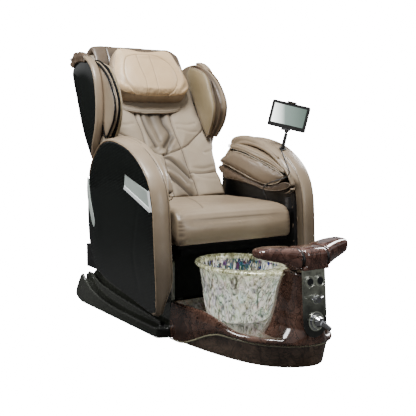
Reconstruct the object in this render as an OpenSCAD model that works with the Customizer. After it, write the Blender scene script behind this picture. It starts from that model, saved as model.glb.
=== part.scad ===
// Pedicure spa chair: reclining massage seat on a base with a foot basin.
// Millimetres. Floor is z = 0, the sitter faces -Y, +X is the tablet side.

/* [Chair] */
// Half width over the two arms
arm_out = 429; // [400:1:460]
// Half width between the arms' inner panels
arm_in = 313; // [300:1:330]
// Half width of the seat cushion
seat_hw = 300; // [280:1:301]
// Height of the seat cushion's top
seat_top = 600; // [560:1:640]
// Thickness of the seat cushion
seat_th = 148; // [100:1:160]
// Lean of the back from vertical, degrees
lean = 30.5; // [20:0.5:35]
// Thickness of the back cushion
back_th = 70; // [50:1:90]

/* [Basin] */
// Half width of the bowl's rim
bowl_a = 199; // [180:1:215]
// Half length of the bowl's rim
bowl_b = 257; // [220:1:270]
// Height of the bowl's rim
bowl_z = 368; // [350:1:390]
// Half width of the footrest
rest_hw = 244; // [200:1:260]
// Sideways centre of the column and panel
col_x = 18; // [0:1:30]

/* [Controls] */
// Radius of the air button caps
btn_r = 14.5; // [10:0.5:18]
// Half distance between the two air buttons
btn_dx = 25.5; // [20:0.5:32]
// Lean of the control panel, degrees
panel_tilt = 4.2; // [0:0.1:8]
// Radius of the recline pivot pins
pivot_r = 7.95; // [6:0.05:10]
// Tablet width
tab_w = 185; // [150:1:220]
// Tablet height
tab_h = 125; // [90:1:140]

/* [Hidden] */
seat_bot = seat_top - seat_th;
back_o = [85, 600];                 // where the back's face meets the seat
pivot_l = [100, -60];               // recline pivot in the back's own frame
pivot_y = back_o[0] + pivot_l[0]*cos(lean) + pivot_l[1]*sin(lean);
pivot_z = back_o[1] - pivot_l[0]*sin(lean) + pivot_l[1]*cos(lean);
panel_o = [col_x, -931, 290];       // panel frame: x right, z up, -y out
beige = [0.66, 0.60, 0.51];
black = [0.08, 0.08, 0.08];
grey = [0.22, 0.23, 0.21];
brown = [0.30, 0.19, 0.16];
chrome = [0.80, 0.81, 0.83];
steel = [0.50, 0.51, 0.53];
eps = 0.4;

function cr(a, b, c, d, t) = 0.5*((2*b) + (c-a)*t + (2*a-5*b+4*c-d)*t*t + (3*b-a-3*c+d)*t*t*t);
// closed and open smooth curves through a few points
function loop(P, n) = let(m = len(P)) [for (i = [0:m-1]) for (j = [0:n-1])
    cr(P[(i+m-1)%m], P[i], P[(i+1)%m], P[(i+2)%m], j/n)];
function curve(P, n) = let(m = len(P)) [for (i = [0:m-2]) for (j = [0:(i == m-2 ? n : n-1)])
    cr(P[max(i-1, 0)], P[i], P[i+1], P[min(i+2, m-1)], j/n)];
function unit(v) = v/norm(v);
function inset(P, d) = let(m = len(P)) [for (i = [0:m-1])
    let(t = unit(P[(i+1)%m] - P[(i+m-1)%m])) P[i] + d*[-t[1], t[0]]];
function smooth(t) = let(u = min(max(t, 0), 1)) u*u*(3-2*u);
function mix(a, b, t) = a + (b-a)*t;

// a solid through planar or curved rings of equal length, capped at both ends
module loft(R) {
    n = len(R[0]);
    m = len(R);
    polyhedron(points = [for (r = R) each r], faces = concat(
        [[for (i = [0:n-1]) i]], [[for (i = [n-1:-1:0]) (m-1)*n+i]],
        [for (k = [0:m-2]) for (i = [0:n-1]) each [
            [k*n+i, (k+1)*n+(i+1)%n, k*n+(i+1)%n], [k*n+i, (k+1)*n+i, (k+1)*n+(i+1)%n]]]));
}
// the same with the last ring joined to the first, for shells and tubes
module ring_loft(R) {
    n = len(R[0]);
    m = len(R);
    polyhedron(points = [for (r = R) each r], faces =
        [for (k = [0:m-1]) for (i = [0:n-1]) each [
            [k*n+i, ((k+1)%m)*n+(i+1)%n, k*n+(i+1)%n],
            [k*n+i, ((k+1)%m)*n+i, ((k+1)%m)*n+(i+1)%n]]]);
}
module yz(x0, x1) translate([x0, 0, 0]) rotate([90, 0, 90]) linear_extrude(x1-x0) children();
module box(a, b) translate(a) cube(b-a);
module both() { children(); mirror([1, 0, 0]) children(); }
module side(s) { if (s < 0) children(); else mirror([1, 0, 0]) children(); }
module in_back() translate([0, back_o[0], back_o[1]]) rotate([-lean, 0, 0]) children();
module in_panel() translate(panel_o) rotate([-panel_tilt, 0, 0]) children();
// a plate in the back's frame: outline in (x, up), from depth y0 to y1
module slab(y0, y1) translate([0, y1, 0]) rotate([90, 0, 0]) linear_extrude(y1-y0) children();

// ---- outlines, side view (y, z), running front-bottom, up, over and back ----
arm_pts = [[-476,215],[-476,300],[-464,460],[-450,640],[-411,738],[-341,807],[-247,861],[-132,893],
    [-22,900],[68,872],[146,803],[192,712],[208,600],[207,490],[186,385],[120,290],[0,248],
    [-180,217],[-330,193],[-428,178],[-466,186]];
arm_o = loop(arm_pts, 5);
// the same outline inset for the body inside the padded band, without its tight lower corner
function arm_i(d) = let(P = inset(arm_pts, -d)) loop([for (i = [1:19]) P[i]], 5);
wing_pts = [[359,796],[300,884],[262,980],[254,1085],[270,1180],[310,1250],[372,1292],[440,1303],
    [540,1290],[592,1246],[584,1190],[552,1115],[475,940],[400,830]];
wing_o = loop(wing_pts, 5);

// ---- basin outline in plan, from the left wall round the nose to the right wall ----
plan_pts = [[-226,-240],[-222,-330],[-205,-480],[-176,-625],[-148,-718],[-108,-795],[-52,-852],[10,-885],
    [70,-893],[122,-870],[160,-812],[185,-715],[204,-590],[218,-440],[226,-330],[228,-240]];
plan = curve(plan_pts, 3);
pn = len(plan);
function nrm(i) = let(t = unit(plan[min(i+1, pn-1)] - plan[max(i-1, 0)])) [t[1], -t[0]];
function off(i, s, f) = plan[i] + nrm(i)*mix(s, f, smooth((-plan[i][1]-560)/270));
function seam_z(y) = 92*smooth((-y-300)/300);
function rim_z(y) = 124 + 50*smooth((y+700)/250);
function back_y(y, yr, i) = min(y, yr - 0.8*min(i, pn-1-i));
function ring(s, f, h) = [for (i = [0:pn-1]) let(p = off(i, s, f), y = plan[i][1])
    [p[0], p[1], mix(seam_z(y) + 0.4, rim_z(y), h)]];
function flat(s, f, z) = [for (i = [0:pn-1]) let(p = off(i, s, f)) [p[0], p[1], z]];
function tub_in(s, f, dz, lo, yr) = [for (i = [0:pn-1]) let(p = off(i, s, f), y = plan[i][1])
    [p[0], back_y(p[1], yr, i), max(rim_z(y) + dz, lo)]];
function tub_flat(s, f, z, yr) = [for (i = [0:pn-1]) let(p = off(i, s, f))
    [p[0], back_y(p[1], yr, i), z]];

function sq(a, b, n, k) = [for (i = [0:n-1]) let(t = 360*i/n, c = cos(t), s = sin(t))
    [a*sign(c)*pow(abs(c), k), b*sign(s)*pow(abs(s), k)]];
function oval(a, b, yc, z) = [for (i = [0:47]) [a*cos(7.5*i), yc + b*sin(7.5*i), z]];

// =================== base ===================
module base_frame() color(steel) difference() {
    union() {
        box([-195, -224, 0], [195, 600, 6]);
        both() {
            box([150, -224, 6], [190, 600, 46]);
            box([152, -222, 46], [182, -182, 380]);
            box([152, 380, 46], [182, 420, 380]);
            box([150, -222, 380], [182, 560, 400]);
            box([152, 540, 46], [182, 560, 380]);
        }
        for (y = [-222, 180, 560]) box([-150, y, 6], [150, y+40, 46]);
    }
    for (x = [-120, 120], y = [-150, 240]) translate([x, y, -1]) cylinder(h = 8, r = 5, $fn = 48);
}

lip = [[722,33],[708,70],[672,120],[640,155],[622,162],[579,128],[519,95],[419,71],[286,56],[160,49],
    [24,48],[-103,47],[-206,46],[-206,0],[645,0],[692,12]];
ridge = [[640,150],[600,176],[560,172],[480,138],[432,128],[245,106],[72,92],[-88,80],[-190,70],[-190,20],
    [640,20]];
module side_cover() color(grey) union() {
    yz(-287, -273) polygon(lip);
    yz(-274, -256) polygon([[700,60],[620,128],[575,96],[515,62],[415,38],[286,24],[-190,16],[-190,0],
        [645,0]]);
    yz(-257, -247) polygon(ridge);
    yz(-248, -228) polygon([[640,60],[-190,40],[-190,0],[640,0]]);
    yz(-229, -201) polygon([[-237,0],[-238,330],[-235,352],[-226,368],[-208,377],[-180,379],[430,379],
        [455,300],[545,202],[640,140],[640,0]]);
    linear_extrude(49) polygon([[-287,-207],[-280,-215],[-262,-223],[-229,-237],[-215,-230],[-229,-190],
        [-287,-190]]);
}
module side_cover_left() side_cover();
module side_cover_right() mirror([1, 0, 0]) side_cover();

module front_panel() color(black) union() {
    box([-199.5, -234, 180], [199.5, -226, 384]);
    box([-149, -226, 200], [149, -206, 204]);
}

module rear_housing() color(black) difference() {
    union() {
        box([-262, 470, 204], [262, 612, 328]);
        box([-180, 562, 60], [180, 608, 204]);
        box([-149, -170, 296], [149, 472, 301]);
    }
    both() box([149, 469, 203], [232, 561, 329]);
    box([-149.1, 480, 203], [149.1, 600, 320]);
    box([-170, 561, 59], [170, 600, 203.5]);
    for (x = [-200:40:200]) box([x, 606, 230], [x+22, 613, 238]);
}

module base_plinth() color(brown) ring_loft([flat(0, 0, 0),
    [for (i = [0:pn-1]) let(p = off(i, 3, 9)) [p[0], p[1], seam_z(plan[i][1])*0.5 + 0.1]],
    [for (i = [0:pn-1]) let(p = off(i, 5, 18)) [p[0], p[1], seam_z(plan[i][1]) + 0.2]],
    [for (i = [0:pn-1]) let(p = off(i, -5, 8)) [p[0], p[1], seam_z(plan[i][1]) + 0.2]],
    flat(-10, -10, 0)]);

module belt_trim() color([0.62, 0.60, 0.48]) {
    // a half-round bead that follows the seam
    a = 9;
    b = pn - 10;
    loft([for (i = [a:b]) let(p = off(i, 5, 18), n = nrm(i), z = seam_z(plan[i][1]) + 0.3)
        [for (k = [0:7]) let(u = 180*k/7 - 90)
            [p[0] + n[0]*(0.9 + 4.2*cos(u)), p[1] + n[1]*(0.9 + 4.2*cos(u)), z + 3.2*sin(u)]]]);
}

col_z = [[107, 104, -946, -656, 3], [135, 92, -947, -676, 3], [170, 76, -941, -698, 3.2],
    [230, 67, -936, -722, 3.4], [310, 63, -930, -744, 3.6], [350, 62, -927, -768, 4], [378, 61, -925, -786, 4],
    [390, 59, -921, -794, 4]];
function col_ring(r) = let(yc = (r[2]+r[3])/2, h = (r[3]-r[2])/2)
    [for (p = sq(r[1], h, 36, 2/r[4])) [col_x + p[0], yc + p[1], r[0]]];
module base_tub() color(brown) difference() {
    union() {
        loft([tub_flat(-14, -4, 103, -252),
            [for (i = [0:pn-1]) let(p = off(i, -5, 8))
                [p[0], back_y(p[1], -246, i), seam_z(plan[i][1]) + 0.6]],
            ring(5.5, 19, 0), ring(11, 36, 0.28), ring(10, 37, 0.62), ring(3, 30, 0.94),
            tub_in(-6, 20, 0.5, 100, -247), tub_in(-15, 8, -5, 100, -254),
            tub_in(-24, -4, -26, 115, -264), tub_flat(-38, -22, 114, -276)]);
        loft([for (r = col_z) col_ring(r)]);
    }
    translate([0, -450, 90]) cylinder(h = 30, r = 22, $fn = 64);
    // seat for the panel, and wells behind it for the valve bodies and buttons
    in_panel() translate([0, 0.3, 0]) rotate([90, 0, 0]) linear_extrude(40) polygon(panel_pts(0.6));
    in_panel() for (x = [-btn_dx, btn_dx]) translate([x, 40, 67]) rotate([90, 0, 0])
        cylinder(h = 60, r = btn_r + 3, $fn = 48);
    in_panel() for (z = [-3, -90]) translate([0, 50, z]) rotate([90, 0, 0])
        cylinder(h = 70, r = 15, $fn = 48);
}

module bowl() color([0.85, 0.87, 0.84]) ring_loft([
    oval(126, 126, -449, 115), oval(137, 137, -449, 122), oval(143, 144, -450, 136),
    oval(152, 158, -453, 180), oval(163, 180, -460, 250), oval(173, 203, -470, 315),
    oval(178, 214, -475, 344), oval(bowl_a-8, bowl_b-9, -490, 350), oval(bowl_a, bowl_b, -492, 354),
    oval(bowl_a+1, bowl_b+1, -492, 361), oval(bowl_a-3, bowl_b-3, -491, bowl_z-1),
    oval(bowl_a-10, bowl_b-10, -489, bowl_z), oval(174, 206, -472, bowl_z-1),
    oval(168, 197, -468, bowl_z-8), oval(163, 190, -465, 320), oval(153, 169, -458, 250),
    oval(141, 146, -452, 185), oval(126, 127, -449, 150), oval(110, 110, -449, 140),
    [for (i = [0:47]) [24*cos(7.5*i), -450 + 24*sin(7.5*i), 138]],
    [for (i = [0:47]) [24*cos(7.5*i), -450 + 24*sin(7.5*i), 115]]]);

module bowl_fittings() color(chrome) {
    translate([0, -450, 0]) difference() {
        union() {
            translate([0, 0, 138.5]) cylinder(h = 4, r = 31, $fn = 64);
            translate([0, 0, 60]) cylinder(h = 80, r = 21, $fn = 64);
        }
        translate([0, 0, 59]) cylinder(h = 78, r = 18, $fn = 64);
        for (a = [0:45:315]) rotate([0, 0, a]) translate([11, 0, 136]) cylinder(h = 8, r = 2.6, $fn = 24);
    }
    // jet cage on the bowl floor
    translate([0, -516, 140.5]) difference() {
        cylinder(h = 15, r = 25, $fn = 64);
        translate([0, 0, 2]) cylinder(h = 10.5, r = 22, $fn = 64);
        translate([0, 0, -1]) cylinder(h = 4, r = 4.05, $fn = 48);
        for (a = [0:60:300]) rotate([0, 0, a]) translate([12, 0, 11]) cylinder(h = 8, r = 4, $fn = 32);
    }
}
module jet_impeller() color(steel) translate([0, -516, 141]) union() {
    cylinder(h = 4, r = 4, $fn = 48);
    translate([0, 0, 2.2]) cylinder(h = 9, r = 6, $fn = 48);
    for (a = [0:72:288]) rotate([0, 0, a]) box([4, -0.8, 2.4], [20, 0.8, 11]);
}

function panel_pts(e) = concat([[-58-e, 114+e], [58+e, 114+e], [59+e, -60], [57+e, -100]],
    [for (a = [-10:-12:-170]) [(57+e)*cos(a), -103 + (50+e)*sin(a)]], [[-57-e, -100], [-59-e, -60]]);
module control_panel() color(chrome) in_panel() difference() {
    rotate([90, 0, 0]) linear_extrude(4) polygon(panel_pts(0));
    for (x = [-btn_dx, btn_dx]) translate([x, 1, 67]) rotate([90, 0, 0])
        cylinder(h = 6, r = btn_r + 2.6, $fn = 64);
    for (z = [-3, -90]) translate([0, 1, z]) rotate([90, 0, 0]) cylinder(h = 6, r = 13.2, $fn = 64);
}
module valve_trim() color(chrome) in_panel() {
    // button bezels
    for (x = [-btn_dx, btn_dx]) translate([x, -4.2, 67]) rotate([90, 0, 0]) difference() {
        union() {
            cylinder(h = 5, r = 24, $fn = 64);
            translate([0, 0, -14]) cylinder(h = 15, r = btn_r + 2.4, $fn = 64);
        }
        translate([0, 0, -15]) cylinder(h = 22, r = btn_r + 0.06, $fn = 64);
    }
    // diverter body
    translate([0, -4.2, -3]) rotate([90, 0, 0]) union() {
        cylinder(h = 10, r = 19, $fn = 64);
        translate([0, 0, -30]) cylinder(h = 31, r = 13, $fn = 64);
        translate([0, 0, 9]) cylinder(h = 9, r = 8, $fn = 48);
    }
    // mixer escutcheon and cartridge neck
    translate([0, -4.2, -90]) rotate([90, 0, 0]) union() {
        cylinder(h = 5, r = 38, $fn = 72);
        translate([0, 0, 4]) cylinder(h = 9, r = 27, $fn = 64);
        translate([0, 0, -34]) cylinder(h = 35, r = 13, $fn = 64);
        translate([0, 0, 12]) cylinder(h = 12, r = 12, $fn = 48);
    }
}
module air_button(x) color(chrome) in_panel() translate([x, -4.2, 67]) rotate([90, 0, 0]) union() {
    translate([0, 0, -8]) cylinder(h = 16, r = btn_r, $fn = 64);
    translate([0, 0, -13]) cylinder(h = 6, r = 5, $fn = 32);
}
module air_button_left() air_button(-btn_dx);
module air_button_right() air_button(btn_dx);
module diverter_handle() color(chrome) in_panel() translate([0, -4.2, -3]) rotate([90, 0, 0])
    difference() {
        union() {
            translate([0, 0, 10.5]) cylinder(h = 16, r = 13, $fn = 64);
            translate([0, 0, 19]) rotate([0, 90, 165]) cylinder(h = 34, r1 = 6.5, r2 = 4.5, $fn = 32);
            translate([0, 0, 19]) rotate([0, 90, 20]) cylinder(h = 24, r1 = 7, r2 = 8.5, $fn = 32);
        }
        translate([0, 0, 9]) cylinder(h = 10, r = 8.05, $fn = 48);
    }
module mixer_lever() color(chrome) in_panel() translate([0, -4.2, -90]) rotate([90, 0, 0])
    difference() {
        union() {
            translate([0, 0, 13.5]) cylinder(h = 8, r1 = 23, r2 = 22, $fn = 64);
            translate([0, 0, 21.5]) cylinder(h = 13, r1 = 22, r2 = 15, $fn = 64);
            translate([0, 0, 27]) rotate([0, 78, -38]) translate([0, 0, 6])
                cylinder(h = 48, r1 = 13, r2 = 8.5, $fn = 48);
        }
        translate([0, 0, 12]) cylinder(h = 13, r = 12.05, $fn = 48);
    }
module sprayer_holder() color(chrome) translate([col_x + 69.8, -878, 232]) difference() {
    union() {
        rotate([0, 90, 0]) cylinder(h = 5, r = 17, $fn = 48);
        rotate([0, 90, 0]) cylinder(h = 14, r = 7, $fn = 48);
        translate([22, 0, -14]) cylinder(h = 26, r = 14, $fn = 64);
    }
    translate([22, 0, -15]) cylinder(h = 28, r = 10.3, $fn = 64);
}
module hand_sprayer() color(chrome) translate([col_x + 91.8, -878, 232]) union() {
    translate([0, 0, -34]) cylinder(h = 50, r = 10, $fn = 64);
    translate([0, 0, 13]) cylinder(h = 12, r1 = 12, r2 = 15, $fn = 64);
    translate([0, 0, 25]) cylinder(h = 6, r1 = 15, r2 = 13.5, $fn = 64);
    translate([0, 0, -44]) cylinder(h = 11, r1 = 5, r2 = 9.5, $fn = 48);
}

// =================== footrest ===================
hub_y = -884;
hub_z = 447;
function fr_ring(x, yc, zc, hy, hz) = [for (p = sq(hy, hz, 28, 0.62)) [x, yc + p[0], zc + p[1]]];
module footrest_hub() color(brown) difference() {
    union() {
        translate([col_x - 63, -946, 404.6]) cube([126, 40, 15.4]);
        loft([for (s = [[-56, 60, 36], [-53, 63, 40], [-44, 66, 43], [0, 68, 44], [44, 66, 43], [53, 63, 40],
            [56, 60, 36]]) fr_ring(col_x + s[0], hub_y, hub_z + 1, s[1], s[2])]);
    }
    translate([col_x - 60, hub_y, hub_z]) rotate([0, 90, 0]) cylinder(h = 120, r = 8.05, $fn = 64);
    box([col_x - 70, -960, 380], [col_x + 70, -790, 390.3]);
}
wing_l = [[208, 26, 11, -832, 468], [204, 34, 17, -832, 468], [192, 42, 22, -832, 467],
    [160, 50, 27, -836, 465], [124, 58, 31, -846, 461], [98, 64, 36, -856, 456], [80, 69, 41, -866, 450],
    [66.5, 72, 45, -872, 446]];
wing_r = [[236, 30, 15, -830, 478], [231, 40, 24, -832, 475], [218, 48, 31, -834, 471],
    [186, 54, 36, -838, 466], [146, 60, 40, -846, 460], [108, 65, 43, -858, 454], [82, 70, 45, -867, 449],
    [66.5, 72, 46, -872, 446]];
module footrest() color(brown) union() {
    for (s = [-1, 1]) loft([for (k = [0:7]) let(w = s < 0 ? wing_l[k] : wing_r[7-k])
        fr_ring(col_x + s*w[0]*rest_hw/244, w[3], w[4], w[1], w[2])]);
    translate([col_x - 74, hub_y, hub_z]) rotate([0, 90, 0]) cylinder(h = 148, r = 8, $fn = 64);
}

// =================== inside the base ===================
module drain_pump() color(black) translate([0, -450, 12]) union() {
    translate([0, 0, -6]) cylinder(h = 40, r = 46, $fn = 64);
    translate([0, 0, 33]) cylinder(h = 14.6, r = 24, $fn = 48);
    translate([0, 0, 12]) rotate([-90, 0, 0]) cylinder(h = 200, r = 14, $fn = 48);
}
module control_box() color(grey) union() {
    box([-130, 280, 6.3], [60, 520, 110]);
    for (i = [0:5]) box([-120 + 28*i, 290, 110], [-112 + 28*i, 510, 114]);
}
module water_inlets() color([0.72, 0.56, 0.28]) for (x = [-60, 0, 60]) {
    translate([x, 612, 90]) rotate([-90, 0, 0]) cylinder(h = 30, r = x == 0 ? 16 : 10.5, $fn = 48);
    translate([x, 608.4, 90]) rotate([-90, 0, 0]) cylinder(h = 5, r = x == 0 ? 24 : 17, $fn = 6);
}

// =================== seat ===================
module seat_frame() color(steel) union() {
    both() {
        box([230, -390, 404], [262, 150, 436]);
        box([148, -216, 401], [184, 300, 436]);
        box([264, 100, 404], [278, 180, 540]);
        box([262, 60, 404], [312.5, 104, 436]);
        box([262, -330, 404], [312.5, -290, 436]);
        box([230, -390, 436], [262, 60, 438]);
        box([148, -200, 436], [184, 60, 438]);
        translate([244, pivot_y, pivot_z]) rotate([0, 90, 0]) cylinder(h = 34, r = pivot_r, $fn = 64);
    }
    for (y = [-390, -90, 118]) box([-230, y, 408], [230, y+32, 436]);
    box([-296, -420, 437], [296, 76, seat_bot-0.4]);
}
module seat_cushion() color(beige) union() {
    yz(-seat_hw, seat_hw) polygon(concat([[78, seat_bot], [78, seat_top-14], [70, seat_top-3]],
        curve([[40, seat_top], [-180, seat_top+2], [-380, seat_top], [-420, seat_top-8], [-434, seat_top-28],
        [-444, seat_bot+30], [-440, seat_bot+6], [-428, seat_bot]], 3)));
}

// =================== arms ===================
module arm_shell() color(black) difference() {
    yz(-arm_out, -arm_out+10) polygon(inset(arm_o, -8));
    yz(-arm_out-1, -arm_out+3) polygon(win_o);
}
win_o = [[-207,750],[-196,690],[-418,611],[-425,625],[-412,688]];
module arm_core() color(black) yz(-arm_out+10.2, -345.5) polygon(arm_i(40.2));
module arm_band() color(beige) union() {
    yz(-arm_out+10.2, -345) difference() {
        polygon(arm_o);
        polygon(arm_i(39.6));
    }
    yz(-arm_out+2, -arm_out+10.6) difference() {
        polygon(arm_o);
        polygon(inset(arm_o, -7.6));
    }
}
pod_cut = loop([[80,868],[-60,862],[-180,824],[-290,780],[-372,737],[-404,698],[-398,662],[-358,640],
    [-240,640],[-80,660],[60,690],[150,715],[260,740],[260,862],[150,870]], 3);
module arm_pod() color(beige) difference() {
    union() {
        yz(-344.6, -330) polygon(inset(arm_o, -5));
        yz(-330, -arm_in) polygon(inset(arm_o, -14));
    }
    yz(-346, -300) polygon(pod_cut);
    if ($children > 0) children();
}
roll_pts = [[78,848],[40,856],[-55,847],[-180,806],[-285,764],[-350,738],[-356,728],[-340,722],[-250,738],
    [-140,770],[-30,806],[50,830],[84,840]];
mid_pts = [[50,826],[-30,802],[-140,766],[-250,734],[-330,716],[-340,700],[-325,682],[-131,728],[0,760],
    [96,788],[100,796],[84,812]];
low_pts = [[90,781],[0,755],[-131,723],[-320,677],[-345,676],[-354,664],[-345,654],[-285,654],[-165,678],
    [20,700],[104,744],[108,760]];
module arm_roll() color(beige) yz(-343, -268) polygon(loop(roll_pts, 2));
module arm_pads() color(beige) {
    yz(-343, -256) polygon(mid_pts);
    yz(-343, -262) polygon(low_pts);
}
module arm_shell_left() arm_shell();
module arm_shell_right() mirror([1, 0, 0]) arm_shell();
module arm_core_left() arm_core();
module arm_core_right() mirror([1, 0, 0]) arm_core();
module arm_band_left() arm_band();
module arm_band_right() mirror([1, 0, 0]) difference() {
    arm_band();
    color(beige) translate([-375, -279, 848]) rotate([30, 0, 0]) translate([0, 0, -30])
        cylinder(h = 60, r = 8.05, $fn = 48);
}
module arm_pod_left() arm_pod();
module arm_pod_right() mirror([1, 0, 0]) arm_pod()
    yz(-318.4, -300) polygon([[-420.4,575.6],[-420.4,628.4],[-391.6,628.4],[-391.6,575.6]]);
module arm_roll_left() arm_roll();
module arm_roll_right() mirror([1, 0, 0]) arm_roll();
module arm_pads_left() arm_pads();
module arm_pads_right() mirror([1, 0, 0]) arm_pads();
module arm_windows() color(chrome) both() {
    yz(-arm_out-2, -arm_out+2.8) polygon(inset(win_o, -0.4));
    yz(-arm_out-2.5, -arm_out-0.2) polygon([[168,712],[176,704],[170,600],[140,520],[128,540],[150,620]]);
}

// =================== arm switch ===================
sw = [arm_in-9, -406, 602];
module switch_housing() color(black) translate(sw) difference() {
    rotate([0, 0, 0]) box([-2, -14, -26], [14, 14, 26]);
    for (z = [-12.5, 12.5]) box([-3, -10, z-10], [9, 10, z+10]);
    for (z = [-12.5, 12.5]) translate([4, -12, z]) rotate([-90, 0, 0]) cylinder(h = 24, r = 1.55, $fn = 32);
}
module rocker(z) color(grey) translate(sw + [0, 0, z]) union() {
    box([-2.5, -9.6, -9.2], [3, 9.6, 9.2]);
    translate([4, -11.5, 0]) rotate([-90, 0, 0]) cylinder(h = 23, r = 1.5, $fn = 32);
    box([2.8, -9.6, -1.2], [4.2, 9.6, 1.2]);
}
module rocker_up() rocker(12.5);
module rocker_down() rocker(-12.5);

// =================== tablet ===================
post_o = [375, -279, 848];
tab_o = [394, -303, 1007];
ball_o = [384, -297.3, 933.6];
module in_post() translate(post_o) rotate([0, 6, 0]) rotate([12, 0, 0]) children();
module in_ball() translate(ball_o) rotate([0, 0, -39]) rotate([0, 13.4, 0]) rotate([0, 90, 0]) children();
module tablet_post() color(black) union() {
    translate(post_o) rotate([30, 0, 0]) translate([0, 0, -24]) cylinder(h = 26, r = 8, $fn = 48);
    translate(post_o) rotate([30, 0, 0]) translate([0, 0, 1.5]) cylinder(h = 5, r = 17, $fn = 64);
    in_post() cylinder(h = 78, r1 = 7.5, r2 = 7, $fn = 48);
    in_post() translate([0, 0, 77.9]) cylinder(h = 10, r1 = 7, r2 = 4.4, $fn = 48);
    translate(ball_o) sphere(r = 8, $fn = 48);
    in_ball() cylinder(h = 20, r = 2.5, center = true, $fn = 32);
}
module in_tab() translate(tab_o) rotate([0, 0, -39]) rotate([0, 13.4, 0]) children();
module tablet() color(black) difference() {
    in_tab() union() {
        box([-tab_w/2, -7, -tab_h/2], [tab_w/2, 7, tab_h/2]);
        // clamp: rear spine with an upper and a lower jaw
        box([-22, 7, -tab_h/2-9], [22, 15, tab_h/2+7]);
        box([-22, -10, tab_h/2+0.2], [22, 8, tab_h/2+7]);
        box([-22, -10, -tab_h/2-9], [22, 8, -tab_h/2-0.2]);
    }
    in_tab() box([-tab_w/2+12, -8, -tab_h/2+11], [tab_w/2-12, -6, tab_h/2-11]);
    translate(ball_o) sphere(r = 8.06, $fn = 48);
    in_ball() cylinder(h = 21, r = 2.56, center = true, $fn = 32);
}

// =================== remote cable ===================
cab_r = 2.5;
cab_pts = [[356,-294,846],[348,-311,839],[336,-334,824],[323,-370,794],[305,-418,754],[298,-414,727],
    [270,-388,712],[249,-370,703],[241,-340,690],[238,-311,668],[239,-312,650],[244,-320,632],
    [258,-318,613],[276,-304,606],[296,-294,606]];
cab_c = curve(cab_pts, 4);
module remote_cable() color(black) {
    m = len(cab_c);
    loft([for (i = [0:m-1]) let(t = unit(cab_c[min(i+1, m-1)] - cab_c[max(i-1, 0)]),
        u = unit(cross(t, [0.3, 1, 0.2])), v = cross(t, u))
        [for (k = [0:9]) cab_c[i] + cab_r*(u*cos(36*k) + v*sin(36*k))]]);
}

// =================== back ===================
module back_frame() color(steel) in_back() difference() {
    union() {
        slab(72, 108) difference() {
            polygon([[-262,-20],[-262,560],[-240,850],[240,850],[262,560],[262,-20]]);
            polygon([[-130,60],[-130,760],[130,760],[130,60]]);
        }
        both() box([250, 72, -84], [262, 124, -10]);
        both() box([108, 84, 55], [131, 96, 765]);
    }
    both() translate([240, pivot_l[0], pivot_l[1]]) rotate([0, 90, 0]) cylinder(h = 30, r = 8, $fn = 64);
}
module massage_carriage() color(grey) in_back() union() {
    box([-107.4, 80, 300], [107.4, 102, 370]);
    both() box([96, 76, 306], [107.4, 104, 364]);
    for (x = [-60, 60], z = [316, 354]) translate([x-14, 80, z]) rotate([0, 90, 0])
        cylinder(h = 28, r = 8, $fn = 48);
}
cush = [[-296,6],[-298,120],[-300,240],[-316,300],[-316,352],[-296,400],[-282,460],[-276,540],[-276,640],
    [-272,846]];
module back_cushion() color(beige) in_back() slab(0, back_th)
    polygon(concat(curve(cush, 3), [for (p = curve(cush, 3)) [-p[0], p[1]]][0] == undef ? [] :
        let(c = curve(cush, 3), m = len(c)) [for (i = [m-1:-1:0]) [-c[i][0], c[i][1]]]));
module back_shell() color(black) in_back() union() {
    slab(110, 128) polygon([[-248,-4],[-290,120],[-300,560],[-282,800],[-240,866],[240,866],[282,800],
        [300,560],[290,120],[248,-4]]);
    slab(128, 146) polygon([[-200,60],[-250,160],[-262,560],[-240,770],[-200,820],[200,820],[240,770],
        [262,560],[250,160],[200,60]]);
    both() box([285, 64, 470], [319.6, 127, 690]);
}

module wing_shell() color(black) yz(-338, -320) difference() {
    polygon(inset(wing_o, -13));
    polygon(concat(band_w, band_v));
}
band_w = curve([[352,786],[294,878],[256,980],[247,1085],[263,1186],[305,1259],[370,1302],[450,1314],[545,1300]],
    4);
band_v = curve([[540,1279.5],[440,1292],[376,1281],[320,1243],[281,1177],[266,1085],[273,984],[309,891],[358,818]],
    4);
module wing_band() color(beige) yz(-348, -320) polygon(concat(band_w, band_v));
mid_w = loop([[400,1282],[318,1266],[220,1205],[152,1120],[131,1055],[152,985],[205,925],[238,905],[262,940],
    [300,1003],[350,1088],[400,1172],[436,1240]], 3);
inn_w = loop([[395,1274],[330,1266],[255,1235],[188,1160],[152,1080],[148,1030],[166,968],[205,915],[222,912],
    [258,950],[300,1015],[350,1098],[396,1176],[424,1238]], 3);
module wing_pads() color(beige) {
    yz(-319.5, -293) polygon(mid_w);
    yz(-288, -257) polygon(inn_w);
    yz(-293.2, -287.8) polygon([[230,980],[270,1000],[360,1150],[380,1220],[330,1210],[240,1100]]);
}
module wing_shell_left() wing_shell();
module wing_shell_right() mirror([1, 0, 0]) wing_shell();
module wing_band_left() wing_band();
module wing_band_right() mirror([1, 0, 0]) wing_band();
module wing_pads_left() wing_pads();
module wing_pads_right() mirror([1, 0, 0]) wing_pads();

module head_hood() color(beige) in_back() yz(-258, 258) polygon(concat(
    curve([[152,772],[154,850],[142,890],[100,908],[20,908],[-12,894],[-20,870]], 3),
    [[0,867.5],[148.5,867.5],[148.5,772]]));

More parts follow.
